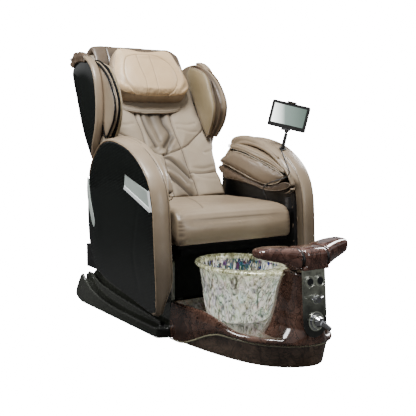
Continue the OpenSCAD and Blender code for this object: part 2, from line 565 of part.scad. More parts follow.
pil_pts = [[-150,552],[-196,558],[-216,596],[-220,650],[-208,720],[-182,784],[-164,820],[-130,836],
    [0,826],[130,836],[164,820],[182,784],[208,720],[220,650],[216,596],[196,558],[150,552],[0,550]];
pil_c = [for (i = [0:len(pil_pts)-1]) pil_pts[i]];
function pil_ring(k, y, dz) = [for (p = loop(pil_c, 2)) [p[0]*k, y, 706 + dz + (p[1]-706)*k]];
module pillow() color(beige) in_back() loft([pil_ring(0.80, -122, -14), pil_ring(0.93, -112, -8),
    pil_ring(0.985, -92, -3), pil_ring(1, -60, 0), pil_ring(1, -20, 0), pil_ring(0.97, -0.8, 0)]);
module neck_apron() color(beige) in_back() slab(-16, -0.8) polygon(concat(
    [[-176,549],[-176,524]], curve([[-176,524],[-160,505],[-100,492],[0,487],[100,492],[160,505],[176,524]], 4),
    [[176,549]]));

base_frame();
side_cover_left();
side_cover_right();
front_panel();
rear_housing();
base_plinth();
belt_trim();
base_tub();
bowl();
bowl_fittings();
jet_impeller();
control_panel();
valve_trim();
air_button_left();
air_button_right();
diverter_handle();
mixer_lever();
sprayer_holder();
hand_sprayer();
footrest_hub();
footrest();
drain_pump();
control_box();
water_inlets();
seat_frame();
seat_cushion();
arm_shell_left();
arm_shell_right();
arm_core_left();
arm_core_right();
arm_band_left();
arm_band_right();
arm_pod_left();
arm_pod_right();
arm_roll_left();
arm_roll_right();
arm_pads_left();
arm_pads_right();
arm_windows();
switch_housing();
rocker_up();
rocker_down();
tablet_post();
tablet();
remote_cable();
back_frame();
massage_carriage();
back_cushion();
back_shell();
wing_shell_left();
wing_shell_right();
wing_band_left();
wing_band_right();
wing_pads_left();
wing_pads_right();
head_hood();
pillow();
neck_apron();
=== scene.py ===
"""Pedicure spa chair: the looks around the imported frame. Metres, in the same frame as the CAD.

Outlines are written in millimetres and scaled by MM. The back parts use the back's own frame:
x across, s up the back's face and yl into its depth.
"""
import math

import bpy
import numpy as np
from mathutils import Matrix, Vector


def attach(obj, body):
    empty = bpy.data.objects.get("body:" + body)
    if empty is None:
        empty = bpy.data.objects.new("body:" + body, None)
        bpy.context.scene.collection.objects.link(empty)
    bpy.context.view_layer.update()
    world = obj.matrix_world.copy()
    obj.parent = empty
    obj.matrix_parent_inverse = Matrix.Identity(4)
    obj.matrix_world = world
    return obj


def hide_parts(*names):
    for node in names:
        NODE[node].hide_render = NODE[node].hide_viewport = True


MM = 0.001
LEAN = math.radians(30.5)
BACK_O = (85.0, 600.0)
COL_X = 18.0        # the control column's middle
HUB = np.array([-884.0, 447.0])     # the footrest's axis in (y, z)
ARM_FACE = 430.0    # the arm's outer face, from the middle plane
PAD_FOOT = 342      # where the arm's pads meet its board
PUFF_FRAMES = 14
SWEEP = 18.0        # the white that the camera sees behind the chair

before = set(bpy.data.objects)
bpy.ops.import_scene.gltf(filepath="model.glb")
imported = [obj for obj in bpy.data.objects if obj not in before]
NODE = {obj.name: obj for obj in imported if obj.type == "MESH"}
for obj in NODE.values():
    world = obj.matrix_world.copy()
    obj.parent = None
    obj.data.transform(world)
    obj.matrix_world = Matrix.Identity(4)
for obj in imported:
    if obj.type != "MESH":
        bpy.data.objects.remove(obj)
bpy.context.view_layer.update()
scene = bpy.context.scene


# ---- camera
cam_data = bpy.data.cameras.new("camera")
cam_data.sensor_width = 36
cam_data.lens = 63.49
cam_data.clip_start, cam_data.clip_end = 0.05, 60
camera = bpy.data.objects.new("camera", cam_data)
camera.location = (-1.8574, -3.0614, 0.9476)
camera.rotation_euler = (math.radians(83.8233), 0, math.radians(-32.9766))
scene.collection.objects.link(camera)
scene.camera = camera


# ---- curves and outlines
def spline(p0, p1, p2, p3, n):
    """n points of the Catmull-Rom span from p1 toward p2."""
    t = (np.arange(n) / n)[:, None]
    return 0.5 * (2 * p1 + (p2 - p0) * t + (2 * p0 - 5 * p1 + 4 * p2 - p3) * t * t
                  + (3 * p1 - p0 - 3 * p2 + p3) * t ** 3)


def loop(pts, n):
    """A closed smooth curve through pts, n points a span."""
    p = np.array(pts, float)
    q = [np.roll(p, k, 0) for k in (1, 0, -1, -2)]
    return np.concatenate([spline(*four, n) for four in zip(*q)])


def curve(pts, n):
    """An open smooth curve through pts."""
    p = np.array(pts, float)
    q = np.concatenate([p[:1], p, p[-1:]])
    return np.concatenate([spline(*q[i:i + 4], n) for i in range(len(p) - 1)] + [p[-1:]])


def normals2(p, smooth=0):
    """Outward normals of a closed outline that runs clockwise in (y, z)."""
    t = np.roll(p, -1, 0) - np.roll(p, 1, 0)
    t /= np.linalg.norm(t, axis=1)[:, None]
    n = np.stack([-t[:, 1], t[:, 0]], 1)
    for _ in range(smooth):
        n = (np.roll(n, 1, 0) + 2 * n + np.roll(n, -1, 0)) / 4
    return n / np.linalg.norm(n, axis=1)[:, None]


def inset(p, d, smooth=0):
    """Outline moved inward by d for the CAD's clockwise outlines."""
    return p - normals2(p, smooth) * d


def round_angles(n):
    """n equal steps round a circle."""
    return np.arange(n) * 2 * math.pi / n


def at_x(line, x):
    """A (y, z) outline as 3-D points, all at one x."""
    return np.stack([np.full(len(line), float(x)), line[:, 0], line[:, 1]], 1)


def shut(line):
    """The outline with its first point again at the end."""
    return np.concatenate([line, line[:1]])


def line_dist(pts, line):
    """Distance of each 2-D or 3-D point to an open polyline."""
    line = np.array(line, float)
    best = np.full(len(pts), 1e9)
    for a, b in zip(line[:-1], line[1:]):
        ab = b - a
        t = np.clip(((pts - a) @ ab) / max(ab @ ab, 1e-12), 0, 1)
        best = np.minimum(best, np.linalg.norm(pts - (a + t[:, None] * ab), axis=1))
    return best


def inside(pts, poly):
    """True for 2-D points within a closed polygon."""
    x, y = pts[:, 0], pts[:, 1]
    hit = np.zeros(len(pts), bool)
    for (x0, y0), (x1, y1) in zip(poly, np.roll(poly, -1, 0)):
        if y0 != y1:
            hit ^= ((y0 > y) != (y1 > y)) & (x < (x1 - x0) * (y - y0) / (y1 - y0) + x0)
    return hit


def ease(t):
    """0 to 1 with soft ends."""
    t = np.clip(t, 0, 1)
    return t * t * (3 - 2 * t)


def bell(d, width):
    """1 on a line, falling to nothing about twice the width away."""
    return np.exp(-(d / width) ** 2)


def dome(d, reach):
    """A rounded rise from 0 at an edge to 1 at reach from it."""
    return 1 - (1 - np.clip(d / reach, 0, 1)) ** 2


def wobble(p, scale, seed=0.0):
    """Cheap smooth noise in -1..1 from a few fixed sines, the same on every run."""
    q = p / scale
    a = np.sin(q[:, 0] * 1.7 + seed) + np.sin(q[:, 1] * 2.3 + seed * 1.3 + 1.1)
    b = np.sin((q[:, 0] + q[:, 1]) * 1.31 + 2.7 * seed) + np.sin((q[:, 0] - q[:, 1]) * 1.9 + seed)
    if p.shape[1] > 2:
        a = a + np.sin(q[:, 2] * 2.1 + seed * 0.7 + 0.4)
        b = b + np.sin((q[:, 2] + q[:, 0]) * 1.5 + seed)
    return (a + b) / 4


def to_back(p):
    """World mm to the back's own frame: columns x, s, yl."""
    y, z = p[:, 1] - BACK_O[0], p[:, 2] - BACK_O[1]
    c, s = math.cos(LEAN), math.sin(LEAN)
    return np.stack([p[:, 0], y * s + z * c, y * c - z * s], 1)


def back_skin(ob, slack=0.25, span=0.4):
    """A back part's points in the back's frame, and 1 where the skin faces the sitter."""
    toward = to_back(vnormals(ob) + [0, *BACK_O])[:, 2]
    return to_back(coords(ob)), ease((-toward - slack) / span)


def from_back(q):
    """The back's own frame (x, s, yl) to world mm."""
    c, s = math.cos(LEAN), math.sin(LEAN)
    return np.stack([q[:, 0], BACK_O[0] + q[:, 2] * c + q[:, 1] * s, BACK_O[1] - q[:, 2] * s + q[:, 1] * c], 1)


# ---- mesh helpers
def make(name, verts, faces):
    me = bpy.data.meshes.new(name)
    me.from_pydata([tuple(v) for v in np.asarray(verts) * MM], [], faces)
    me.update()
    ob = bpy.data.objects.new(name, me)
    scene.collection.objects.link(ob)
    return ob


def coords(ob):
    co = np.zeros(len(ob.data.vertices) * 3)
    ob.data.vertices.foreach_get("co", co)
    return co.reshape(-1, 3) / MM


def set_coords(ob, co):
    ob.data.vertices.foreach_set("co", (co * MM).astype(np.float32).ravel())
    ob.data.update()


def vnormals(ob):
    no = np.zeros(len(ob.data.vertices) * 3)
    ob.data.vertices.foreach_get("normal", no)
    return no.reshape(-1, 3)


def skin(ob):
    """A mesh's points and normals."""
    return coords(ob), vnormals(ob)


def apply_mods(ob):
    dg = bpy.context.evaluated_depsgraph_get()
    me = bpy.data.meshes.new_from_object(ob.evaluated_get(dg))
    ob.modifiers.clear()
    old, ob.data = ob.data, me
    bpy.data.meshes.remove(old)


def push(ob, co, no, move):
    """Moves each point along its normal by move millimetres."""
    set_coords(ob, co + no * move[:, None])


def crease_shade(ob, values):
    """Marks painted shade: the hides darken toward near black where this is set, in folds, seams, recesses and beside
    other parts.
    """
    a = ob.data.attributes.get("crease_shade") or ob.data.attributes.new("crease_shade", "FLOAT", "POINT")
    a.data.foreach_set("value", np.clip(values, 0, 1).astype(np.float32))


def rings(name, rs, closed=False, caps=True):
    """Quads through equal rings of 3-D points; closed joins the last ring to the first."""
    m, n = len(rs), len(rs[0])
    v = np.concatenate([np.asarray(r, float) for r in rs])
    f = []
    for k in range(m if closed else m - 1):
        a, b = k * n, ((k + 1) % m) * n
        f += [(a + i, a + (i + 1) % n, b + (i + 1) % n, b + i) for i in range(n)]
    if caps and not closed:
        f.append(tuple(range(n - 1, -1, -1)))
        f.append(tuple((m - 1) * n + i for i in range(n)))
    ob = make(name, v, f)
    fix_normals(ob)
    return ob


def fix_normals(ob):
    import bmesh
    bm = bmesh.new()
    bm.from_mesh(ob.data)
    bmesh.ops.recalc_face_normals(bm, faces=bm.faces)
    bm.to_mesh(ob.data)
    bm.free()


def plate(name, loops, w0, w1, bevel, place):
    """A flat plate with rounded edges: closed loops in (u, v), from w0 to w1; place maps (u, v, w)."""
    cu = bpy.data.curves.new("plate", "CURVE")
    cu.dimensions, cu.fill_mode = "2D", "BOTH"
    cu.extrude = max((w1 - w0) / 2 - bevel, 0) * MM
    cu.bevel_depth, cu.bevel_resolution, cu.offset = bevel * MM, 3, -bevel * MM
    for pts in loops:
        sp = cu.splines.new("POLY")
        sp.points.add(len(pts) - 1)
        flat = np.zeros((len(pts), 4))
        flat[:, :2], flat[:, 3] = np.asarray(pts) * MM, 1
        sp.points.foreach_set("co", flat.ravel())
        sp.use_cyclic_u = True
    tmp = bpy.data.objects.new("plate", cu)
    scene.collection.objects.link(tmp)
    me = bpy.data.meshes.new_from_object(tmp.evaluated_get(bpy.context.evaluated_depsgraph_get()))
    bpy.data.objects.remove(tmp)
    ob = bpy.data.objects.new(name, me)
    scene.collection.objects.link(ob)
    co = coords(ob)
    co[:, 2] += (w0 + w1) / 2
    set_coords(ob, place(co))
    return ob


def soften(ob, voxel, iterations, fine=0):
    """One even skin over the shape, with its edges rounded."""
    m = ob.modifiers.new("skin", "REMESH")
    m.mode, m.voxel_size, m.use_smooth_shade = "VOXEL", voxel * MM, True
    s = ob.modifiers.new("round", "SMOOTH")
    s.iterations, s.factor = iterations, 0.5
    apply_mods(ob)
    if fine:
        refine(ob)


def refine(ob):
    s = ob.modifiers.new("fine", "SUBSURF")
    s.levels = s.render_levels = 1
    apply_mods(ob)


def puff(ob, cap, hold=None):
    """Inflates a closed skin as cloth; no point moves more than cap millimetres."""
    rest = coords(ob)
    c = ob.modifiers.new("cloth", "CLOTH")
    st = c.settings
    st.quality, st.mass = 6, 0.35
    st.tension_stiffness = st.compression_stiffness = 15
    st.shear_stiffness, st.bending_stiffness = 5, 2
    st.use_pressure, st.uniform_pressure_force = True, 4
    st.effector_weights.gravity = 0
    c.collision_settings.use_collision = c.collision_settings.use_self_collision = False
    if hold is not None:
        ob.vertex_groups.new(name="hold").add(np.nonzero(hold(rest))[0].tolist(), 1, "REPLACE")
        st.vertex_group_mass = "hold"
    c.point_cache.frame_start, c.point_cache.frame_end = 1, PUFF_FRAMES
    for f in range(1, PUFF_FRAMES + 1):
        scene.frame_set(f)
    move = coords(ob.evaluated_get(bpy.context.evaluated_depsgraph_get())) - rest
    size = np.linalg.norm(move, axis=1)
    scale = np.where(size > 1e-6, cap * np.tanh(size / cap) / np.maximum(size, 1e-6), 0)
    ob.modifiers.clear()
    ob.vertex_groups.clear()
    scene.frame_set(1)
    set_coords(ob, rest + move * scale[:, None])


def finish(ob, mat, body, replaces=(), smooth=True):
    """Gives a piece its material and body, and hides the CAD parts that it stands for."""
    if ob.type == "MESH":
        ob.data.materials.clear()
        ob.data.materials.append(mat)
        ob.data.polygons.foreach_set("use_smooth", [smooth] * len(ob.data.polygons))
    else:
        ob.data.materials.append(mat)
    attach(ob, body)
    if replaces:
        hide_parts(*replaces)
    return ob


def tube(name, pts, r, mat, body, closed=False, sides=10):
    """A round bead along 3-D points, in millimetres."""
    p = np.asarray(pts, float)
    t = (np.roll(p, -1, 0) - np.roll(p, 1, 0)) if closed else np.gradient(p, axis=0)
    t /= np.linalg.norm(t, axis=1)[:, None]
    up = np.array([0.13, 0.21, 0.97])
    u = np.cross(t, up)
    u /= np.linalg.norm(u, axis=1)[:, None]
    v = np.cross(t, u)
    rr = np.broadcast_to(np.asarray(r, float), (len(p),))
    a = round_angles(sides)[:, None]
    out = [p[i] + rr[i] * (np.cos(a) * u[i] + np.sin(a) * v[i]) for i in range(len(p))]
    return finish(rings(name, out, closed=closed), mat, body)


# ---- materials
class Tree:
    """A node tree with short ways to add nodes."""

    def __init__(self, owner):
        owner.use_nodes = True
        self.t = owner.node_tree

    def put(self, socket, value):
        if isinstance(value, bpy.types.NodeSocket):
            self.t.links.new(value, socket)
        elif isinstance(value, tuple) and len(value) == 3 and socket.type == "RGBA":
            socket.default_value = (*value, 1)
        else:
            socket.default_value = value

    def node(self, kind, ins=(), **props):
        n = self.t.nodes.new("ShaderNode" + kind)
        for k, v in props.items():
            setattr(n, k, v)
        for k, v in dict(ins).items():
            self.put(n.inputs[k], v)
        return n

    def ramp(self, fac, stops):
        n = self.node("ValToRGB", {"Fac": fac})
        e = n.color_ramp.elements
        for el, (at, colour) in zip((e[0], e[1]), (stops[0], stops[-1])):
            el.position, el.color = at, (*colour, 1)
        for at, colour in stops[1:-1]:
            e.new(at).color = (*colour, 1)
        return n.outputs["Color"]

    def level(self, fac, lo, hi, a=0.0, b=1.0):
        n = self.node("MapRange", {"Value": fac, "From Min": lo, "From Max": hi, "To Min": a, "To Max": b})
        return n.outputs[0]

    def axis(self, vector, k):
        return self.node("SeparateXYZ", {"Vector": vector}).outputs[k]

    def seen(self, ray, plain, special):
        """One shader for most rays and another for rays of one kind."""
        kind = self.node("LightPath").outputs[ray]
        return self.node("MixShader", {0: kind, 1: plain.outputs[0], 2: special.outputs[0]}).outputs[0]


class Mat(Tree):
    """A Principled material; its pattern coordinates are the object's own."""

    def __init__(self, name, **values):
        self.m = bpy.data.materials.new(name)
        super().__init__(self.m)
        self.b = self.t.nodes["Principled BSDF"]
        for k, v in values.items():
            self.set(k.replace("_", " "), v)
        self.pos = self.node("TexCoord").outputs["Object"]

    def set(self, socket, value):
        self.put(self.b.inputs[socket], value)

    def stretch(self, scale, turn=(0, 0, 0)):
        return self.node("Mapping", {"Vector": self.pos, "Scale": scale, "Rotation": turn}).outputs[0]

    def noise(self, scale, detail=3, rough=0.5, distort=0.0, at=None):
        return self.node("TexNoise", {"Vector": at or self.pos, "Scale": scale, "Detail": detail,
            "Roughness": rough, "Distortion": distort}).outputs["Fac"]

    def cells(self, scale, at=None, feature="F1"):
        n = self.node("TexVoronoi", {"Vector": at or self.pos, "Scale": scale}, feature=feature)
        return n.outputs["Distance"]

    def mix(self, fac, a, b):
        return self.node("Mix", {0: fac, 6: a, 7: b}, data_type="RGBA").outputs[2]

    def bump(self, *layers):
        """Each layer is (height socket, strength, distance in mm)."""
        last = None
        for h, strength, dist in layers:
            ins = {"Height": h, "Strength": strength, "Distance": dist * MM}
            if last is not None:
                ins["Normal"] = last
            last = self.node("Bump", ins).outputs[0]
        self.set("Normal", last)

    def attr(self, name):
        return self.node("Attribute", attribute_name=name).outputs["Fac"]


def leather(name, dark, mid, light, rough=0.4, grain=1.0, shade=None, shine=0.5):
    m = Mat(name, Specular_IOR_Level=shine)
    tone = m.noise(3.2, 4, 0.55)
    col = m.ramp(tone, [(0.25, dark), (0.5, mid), (0.75, light)])
    pores = m.cells(420 * grain)
    col = m.mix(m.level(pores, 0.0, 0.55, 0.0, 0.1), col, dark)
    # painted shade: the hide darkens toward near black by the marked crease attribute
    fold_shade = m.attr("crease_shade")
    col = m.mix(m.level(fold_shade, 0, 1, 0, 0.92), col, tuple(c * 0.15 for c in dark))
    if shade:
        # painted shade: the front of the recess under the pads is darkened to nearly black
        deep = m.node("Math", {0: m.level(m.axis(m.pos, 1), *shade[0], 0, 0.93), 1: m.level(m.axis(m.pos, 2),
            *shade[1], 0, 1)}, operation="MULTIPLY").outputs[0]
        col = m.mix(deep, col, (0.01, 0.008, 0.006))
    m.set("Base Color", col)
    m.set("Roughness", m.level(m.noise(9, 3), 0.3, 0.7, rough - 0.06, rough + 0.09))
    m.bump((m.noise(16, 3, 0.5, 0.3), 0.22, 3.0), (m.noise(75, 3), 0.12, 0.8), (pores, 0.28, 0.25))
    m.set("Coat Weight", 0.1 if shine > 0.4 else 0.0)
    m.set("Coat Roughness", 0.32)
    return m.m


def fibreglass(name, deep, mid, vein, rough=0.16):
    m = Mat(name, Coat_Weight=1.0, Coat_Roughness=0.04, Coat_IOR=1.5)
    warp = m.node("TexNoise", {"Vector": m.pos, "Scale": 7.0, "Detail": 5.0})
    bent = m.node("VectorMath", {0: m.pos, 1: m.node("VectorMath", {0: warp.outputs["Color"], 3: 0.17},
        operation="SCALE").outputs[0]}).outputs[0]
    swirl = m.noise(11, 6, 0.55, 1.2, at=bent)
    col = m.ramp(swirl, [(0.3, deep), (0.5, mid), (0.6, vein), (0.68, mid), (0.85, deep)])
    hair = m.cells(27, at=bent, feature="DISTANCE_TO_EDGE")
    hair2 = m.cells(15, at=bent, feature="DISTANCE_TO_EDGE")
    lines = m.node("Math", {0: m.level(hair, 0.0, 0.045, 1, 0), 1: m.level(hair2, 0.0, 0.03, 1, 0)},
        operation="MAXIMUM").outputs[0]
    col = m.mix(m.level(lines, 0, 1, 0, 0.85), col, tuple(c * 0.3 for c in deep))
    fleck = m.noise(240, 2, 0.5)
    col = m.mix(m.level(fleck, 0.6, 0.72, 0, 0.22), col, vein)
    m.set("Base Color", col)
    m.set("Roughness", m.level(swirl, 0.3, 0.7, rough, rough + 0.1))
    m.bump((m.noise(28, 3), 0.1, 1.0))
    return m.m


def chrome_mat(name, tint=(0.82, 0.83, 0.85), rough=0.05, rise=None):
    m = Mat(name, Metallic=1.0)
    smear = m.noise(40, 4, 0.6)
    base = m.ramp(smear, [(0.3, tuple(c * 0.93 for c in tint)), (0.7, tint)])
    # painted reflection: with rise, the colour lightens with height and the metal glows there by emission
    if rise:
        up = m.level(m.axis(m.pos, 2), *rise)
        base = m.mix(up, base, (0.4, 0.41, 0.36))
        m.set("Emission Color", m.mix(up, (0.004, 0.004, 0.004), (0.1, 0.105, 0.085)))
        m.set("Emission Strength", m.level(smear, 0.3, 0.7, 0.35, 1.3))
    m.set("Base Color", base)
    m.set("Roughness", m.level(smear, 0.35, 0.75, rough, rough + 0.07))
    m.bump((m.noise(55, 2), 0.03, 0.4))
    return m.m


def plastic(name, colour, rough=0.35, coat=0.0, grain=0.15, shine=0.5):
    m = Mat(name, Coat_Weight=coat, Coat_Roughness=0.05, Specular_IOR_Level=shine)
    n = m.noise(6, 4)
    m.set("Base Color", m.ramp(n, [(0.3, tuple(c * 0.8 for c in colour)), (0.7, colour)]))
    m.set("Roughness", m.level(m.noise(30, 4), 0.3, 0.7, rough * 0.85, rough * 1.2))
    m.bump((m.cells(900), grain, 0.12), (m.noise(14, 2), 0.05, 0.8))
    return m.m


def gloss_shell(name, colour, ribs=True):
    """Polished shell with a faint set of moulded ribs under the lacquer."""
    m = Mat(name, Coat_Weight=1.0, Coat_Roughness=0.03)
    soft = m.noise(2.2, 2)
    base = m.ramp(soft, [(0.35, tuple(c * 0.6 for c in colour)), (0.7, colour)])
    m.set("Roughness", m.level(m.noise(60, 3), 0.3, 0.7, 0.1, 0.2))
    layers = [(m.noise(5, 2), 0.05, 2.0)]
    if ribs:
        wave = m.node("TexWave", {"Vector": m.stretch((1, 1, 1), (math.radians(18), 0, 0)), "Scale": 24.0,
            "Distortion": 0.6, "Detail": 1.0}, bands_direction="Z")
        layers.append((wave.outputs["Fac"], 0.1, 0.5))
        base = m.mix(m.level(wave.outputs["Fac"], 0.55, 0.9, 0, 0.8), base, (0.017, 0.021, 0.019))
    m.set("Base Color", base)
    m.bump(*layers)
    return m.m


TAUPE = leather("leather_taupe", (0.19, 0.14, 0.09), (0.245, 0.186, 0.124), (0.3, 0.236, 0.165), 0.34)
BACK = leather("leather_back", (0.235, 0.183, 0.125), (0.298, 0.24, 0.172), (0.355, 0.295, 0.222), 0.52,
    shine=0.28)
INNER = leather("leather_inner", (0.165, 0.125, 0.066), (0.225, 0.176, 0.1), (0.275, 0.222, 0.135), 0.36)
PILLOW = leather("leather_pillow", (0.43, 0.29, 0.155), (0.51, 0.36, 0.205), (0.58, 0.43, 0.26), 0.42, shine=0.35)
# a darker copy of the pillow hide: painted shade on the pillow's flanks, underside and back
FLANK_SHADED = leather("leather_pillow_side_shaded", (0.26, 0.185, 0.115), (0.32, 0.238, 0.155), (0.38, 0.29, 0.2), 0.5, shine=0.3)
# a darker copy of the hide: painted shade for the welts of pads in shadow
LOW_SHADED_HIDE = leather("leather_low_shaded", (0.085, 0.062, 0.042), (0.125, 0.094, 0.066), (0.165, 0.127, 0.092))
# a copy of the hide with painted shade: near black at the front of the recess under the arm's pads
SHADED = leather("leather_panel_shaded", (0.17, 0.124, 0.08), (0.22, 0.166, 0.111), (0.27, 0.212, 0.148),
    shade=((-0.4, -0.37), (0.705, 0.68)))
DARKHIDE = leather("leather_shadow", (0.06, 0.038, 0.022), (0.085, 0.056, 0.034), (0.12, 0.082, 0.052))
BLACK = gloss_shell("shell_black", (0.0065, 0.0075, 0.0065))
SKIRT = gloss_shell("shell_skirt", (0.036, 0.039, 0.031), ribs=False)
MARBLE = fibreglass("fibreglass_marbled", (0.032, 0.016, 0.011), (0.082, 0.042, 0.03), (0.126, 0.068, 0.049), 0.1)
PLINTH = fibreglass("fibreglass_plain", (0.05, 0.031, 0.02), (0.082, 0.053, 0.036), (0.12, 0.08, 0.055), 0.32)
REST = fibreglass("fibreglass_rest", (0.04, 0.018, 0.013), (0.08, 0.038, 0.029), (0.135, 0.07, 0.054), 0.07)
CHROME = chrome_mat("chrome_polished")
# dark mirror with painted reflection: lighter and glowing toward its top
MIRROR = chrome_mat("chrome_panel_glow", (0.115, 0.12, 0.112), 0.03, (0.2, 0.4))
DIMCHROME = chrome_mat("chrome_button", (0.3, 0.32, 0.34), 0.1)
# pale chrome that glows all over by emission: a painted highlight on the panel's rings
GLINT = chrome_mat("chrome_ring_glow", (0.9, 0.91, 0.92), 0.04, (-1.0, 0.0))
PANE = plastic("window_pane", (0.46, 0.52, 0.48), 0.2, 0.6, 0.05)
# near white: a painted highlight on the window's lip
BRIGHT = plastic("window_edge_highlight", (0.9, 0.93, 0.92), 0.15, 0.6, 0.02)
BLACKP = plastic("plastic_black", (0.007, 0.007, 0.007), 0.5)
GREYP = plastic("plastic_grey", (0.03, 0.03, 0.032), 0.42)
STEEL = plastic("paint_steel", (0.012, 0.012, 0.013), 0.5)
BRASS = chrome_mat("brass_plain", (0.6, 0.42, 0.17), 0.24)
BEAD = plastic("bead_pale", (0.25, 0.235, 0.15), 0.4)
# a much darker copy of the hide: painted shade over the head hood
HOOD_SHADED_HIDE = leather("leather_hood_shaded", (0.06, 0.04, 0.025), (0.086, 0.06, 0.038), (0.112, 0.081, 0.053))
# a darker copy of the arm hide: painted shade on the pads under the roll
MID_SHADED_HIDE = leather("leather_middle_shaded", (0.12, 0.086, 0.055), (0.165, 0.122, 0.081), (0.21, 0.16, 0.111))
PIPING = leather("leather_piping", (0.25, 0.165, 0.095), (0.33, 0.225, 0.135), (0.4, 0.285, 0.18))
FLAT = plastic("paint_flat_black", (0.004, 0.004, 0.004), 0.7, shine=0.08)
RUBBER = plastic("cable_rubber", (0.01, 0.011, 0.011), 0.5)


# ---- the cable
CABLE = [(356, -294, 846), (348, -311, 839), (336, -334, 824), (323, -370, 794), (305, -418, 754),
    (298, -414, 727), (270, -388, 712), (249, -370, 703), (241, -340, 690), (238, -311, 668), (239, -312, 650),
    (244, -320, 632), (258, -318, 613), (276, -304, 606), (296, -294, 606)]
route = curve(CABLE, 3) * MM
cu = bpy.data.curves.new("remote_lead", "CURVE")
cu.dimensions, cu.bevel_depth, cu.bevel_resolution, cu.use_fill_caps = "3D", 0.0025, 4, True
sp = cu.splines.new("POLY")
sp.points.add(len(route) - 1)
sp.points.foreach_set("co", np.concatenate([route, np.ones((len(route), 1))], 1).ravel())
cable = bpy.data.objects.new("remote_lead", cu)
scene.collection.objects.link(cable)
finish(cable, RUBBER, "carriage", ["remote_cable"])


# ---- outlines shared with the CAD
ARM = [(-476, 215), (-476, 300), (-464, 460), (-450, 640), (-411, 738), (-341, 807), (-247, 861), (-132, 893),
    (-22, 900), (68, 872), (146, 803), (192, 712), (208, 600), (207, 490), (186, 385), (120, 290), (0, 248),
    (-180, 217), (-330, 193), (-428, 178), (-466, 186)]
WING = [(359, 796), (300, 884), (262, 980), (254, 1085), (270, 1180), (310, 1250), (372, 1292), (440, 1303),
    (540, 1290), (592, 1246), (584, 1190), (552, 1115), (475, 940), (400, 830)]
POD_HOLE = [(108, 866), (80, 882), (-60, 880), (-180, 858), (-300, 812), (-378, 762), (-414, 714), (-420, 674),
    (-380, 646), (-240, 640), (-80, 655), (60, 672), (150, 705), (178, 760), (150, 830)]
CAP = [(62, 852), (84, 872), (70, 899), (30, 911), (-20, 914), (-70, 910), (-120, 901), (-190, 884), (-262, 852),
    (-330, 812), (-330, 800), (-262, 826), (-190, 850), (-100, 866), (0, 864)]
ROLL = [(22, 858), (14, 868), (-20, 869), (-75, 863), (-160, 844), (-242, 818), (-301, 790), (-354, 758),
    (-371, 745), (-356, 740), (-323, 758), (-265, 785), (-193, 811), (-123, 833), (-42, 846), (4, 850)]
MIDPAD = [(-6, 834), (50, 810), (86, 790), (84, 776), (32, 761), (-101, 726), (-200, 697), (-266, 680),
    (-317, 684), (-350, 699), (-372, 722), (-354, 740), (-296, 766), (-238, 791), (-165, 815), (-84, 832)]
LOWPAD = [(92, 762), (116, 748), (104, 730), (75, 716), (46, 694), (-76, 690), (-190, 674), (-260, 652),
    (-349, 655), (-410, 676), (-418, 690), (-369, 697), (-262, 670), (-190, 690), (-92, 716), (20, 748)]
arm_o = loop(ARM, 8)
wing_o = loop(WING, 6)


def yz_place(side):
    """(u, v, w) of a plate to world: u is y, v is z, w is the distance from the middle plane."""
    return lambda c: c[:, [2, 0, 1]] * [side, 1, 1]


def side_pad(name, side, loops, w0, w1, bevel, voxel, rounds, fine=0):
    """A rounded plate in the (y, z) plane, from w0 to w1 out from the middle plane."""
    ob = plate(name, loops, w0, w1, bevel, yz_place(side))
    soften(ob, voxel, rounds, fine)
    return ob


def crown_pad(ob, outline, crown, reach, wrinkle, seed):
    """Crowns a pad's side faces away from its (y, z) outline and wrinkles its skin."""
    co, no = skin(ob)
    edge = line_dist(co[:, 1:], shut(outline))
    rise = crown * dome(edge, reach)
    move = rise * ease((np.abs(no[:, 0]) - 0.35) / 0.5)
    move += wrinkle * (wobble(co, 34, seed) + 0.5 * wobble(co, 13, seed + 2))
    push(ob, co, no, move)


# ---- arms
BAND_PROFILE = [(-400, 34), (-417, 26), (-421, 14), (-426.5, 10.5), (-430, 7.5), (-431, 4.5), (-429.5, 1.5),
    (-425, -0.6), (-417, -2.6), (-404, -4.6), (-390, -5.4), (-377, -4.8), (-367, -3.0), (-361.5, -0.9),
    (-359.2, 1.4), (-358, 2.6), (-356.8, 1.4), (-354.5, -0.6), (-348, -1.8), (-339, -1.0), (-330, 2.0),
    (-322, 6.5), (-316.5, 12.5), (-313.4, 20), (-313, 27), (-318, 34), (-340, 37), (-370, 37)]


def tuck(co):
    """The pads' inner faces slope into the arm toward their front ends."""
    deep = 47 * ease((-150 - co[:, 1]) / 220)
    gap = np.clip((338 - np.abs(co[:, 0])) / 74, 0, 1)
    co[:, 0] += np.sign(co[:, 0]) * deep * gap
    return co


def lower_edge(p):
    """1 along the arm's lower and rear edge, where the shell wraps round."""
    y, z = p[:, 0], p[:, 1]
    base = ease((46 - (z - 178 - (y + 428) * 0.338)) / 14) * ease((y + 440) / 26)
    return np.maximum(base, ease((y - 120) / 30) * ease((735 - z) / 30))


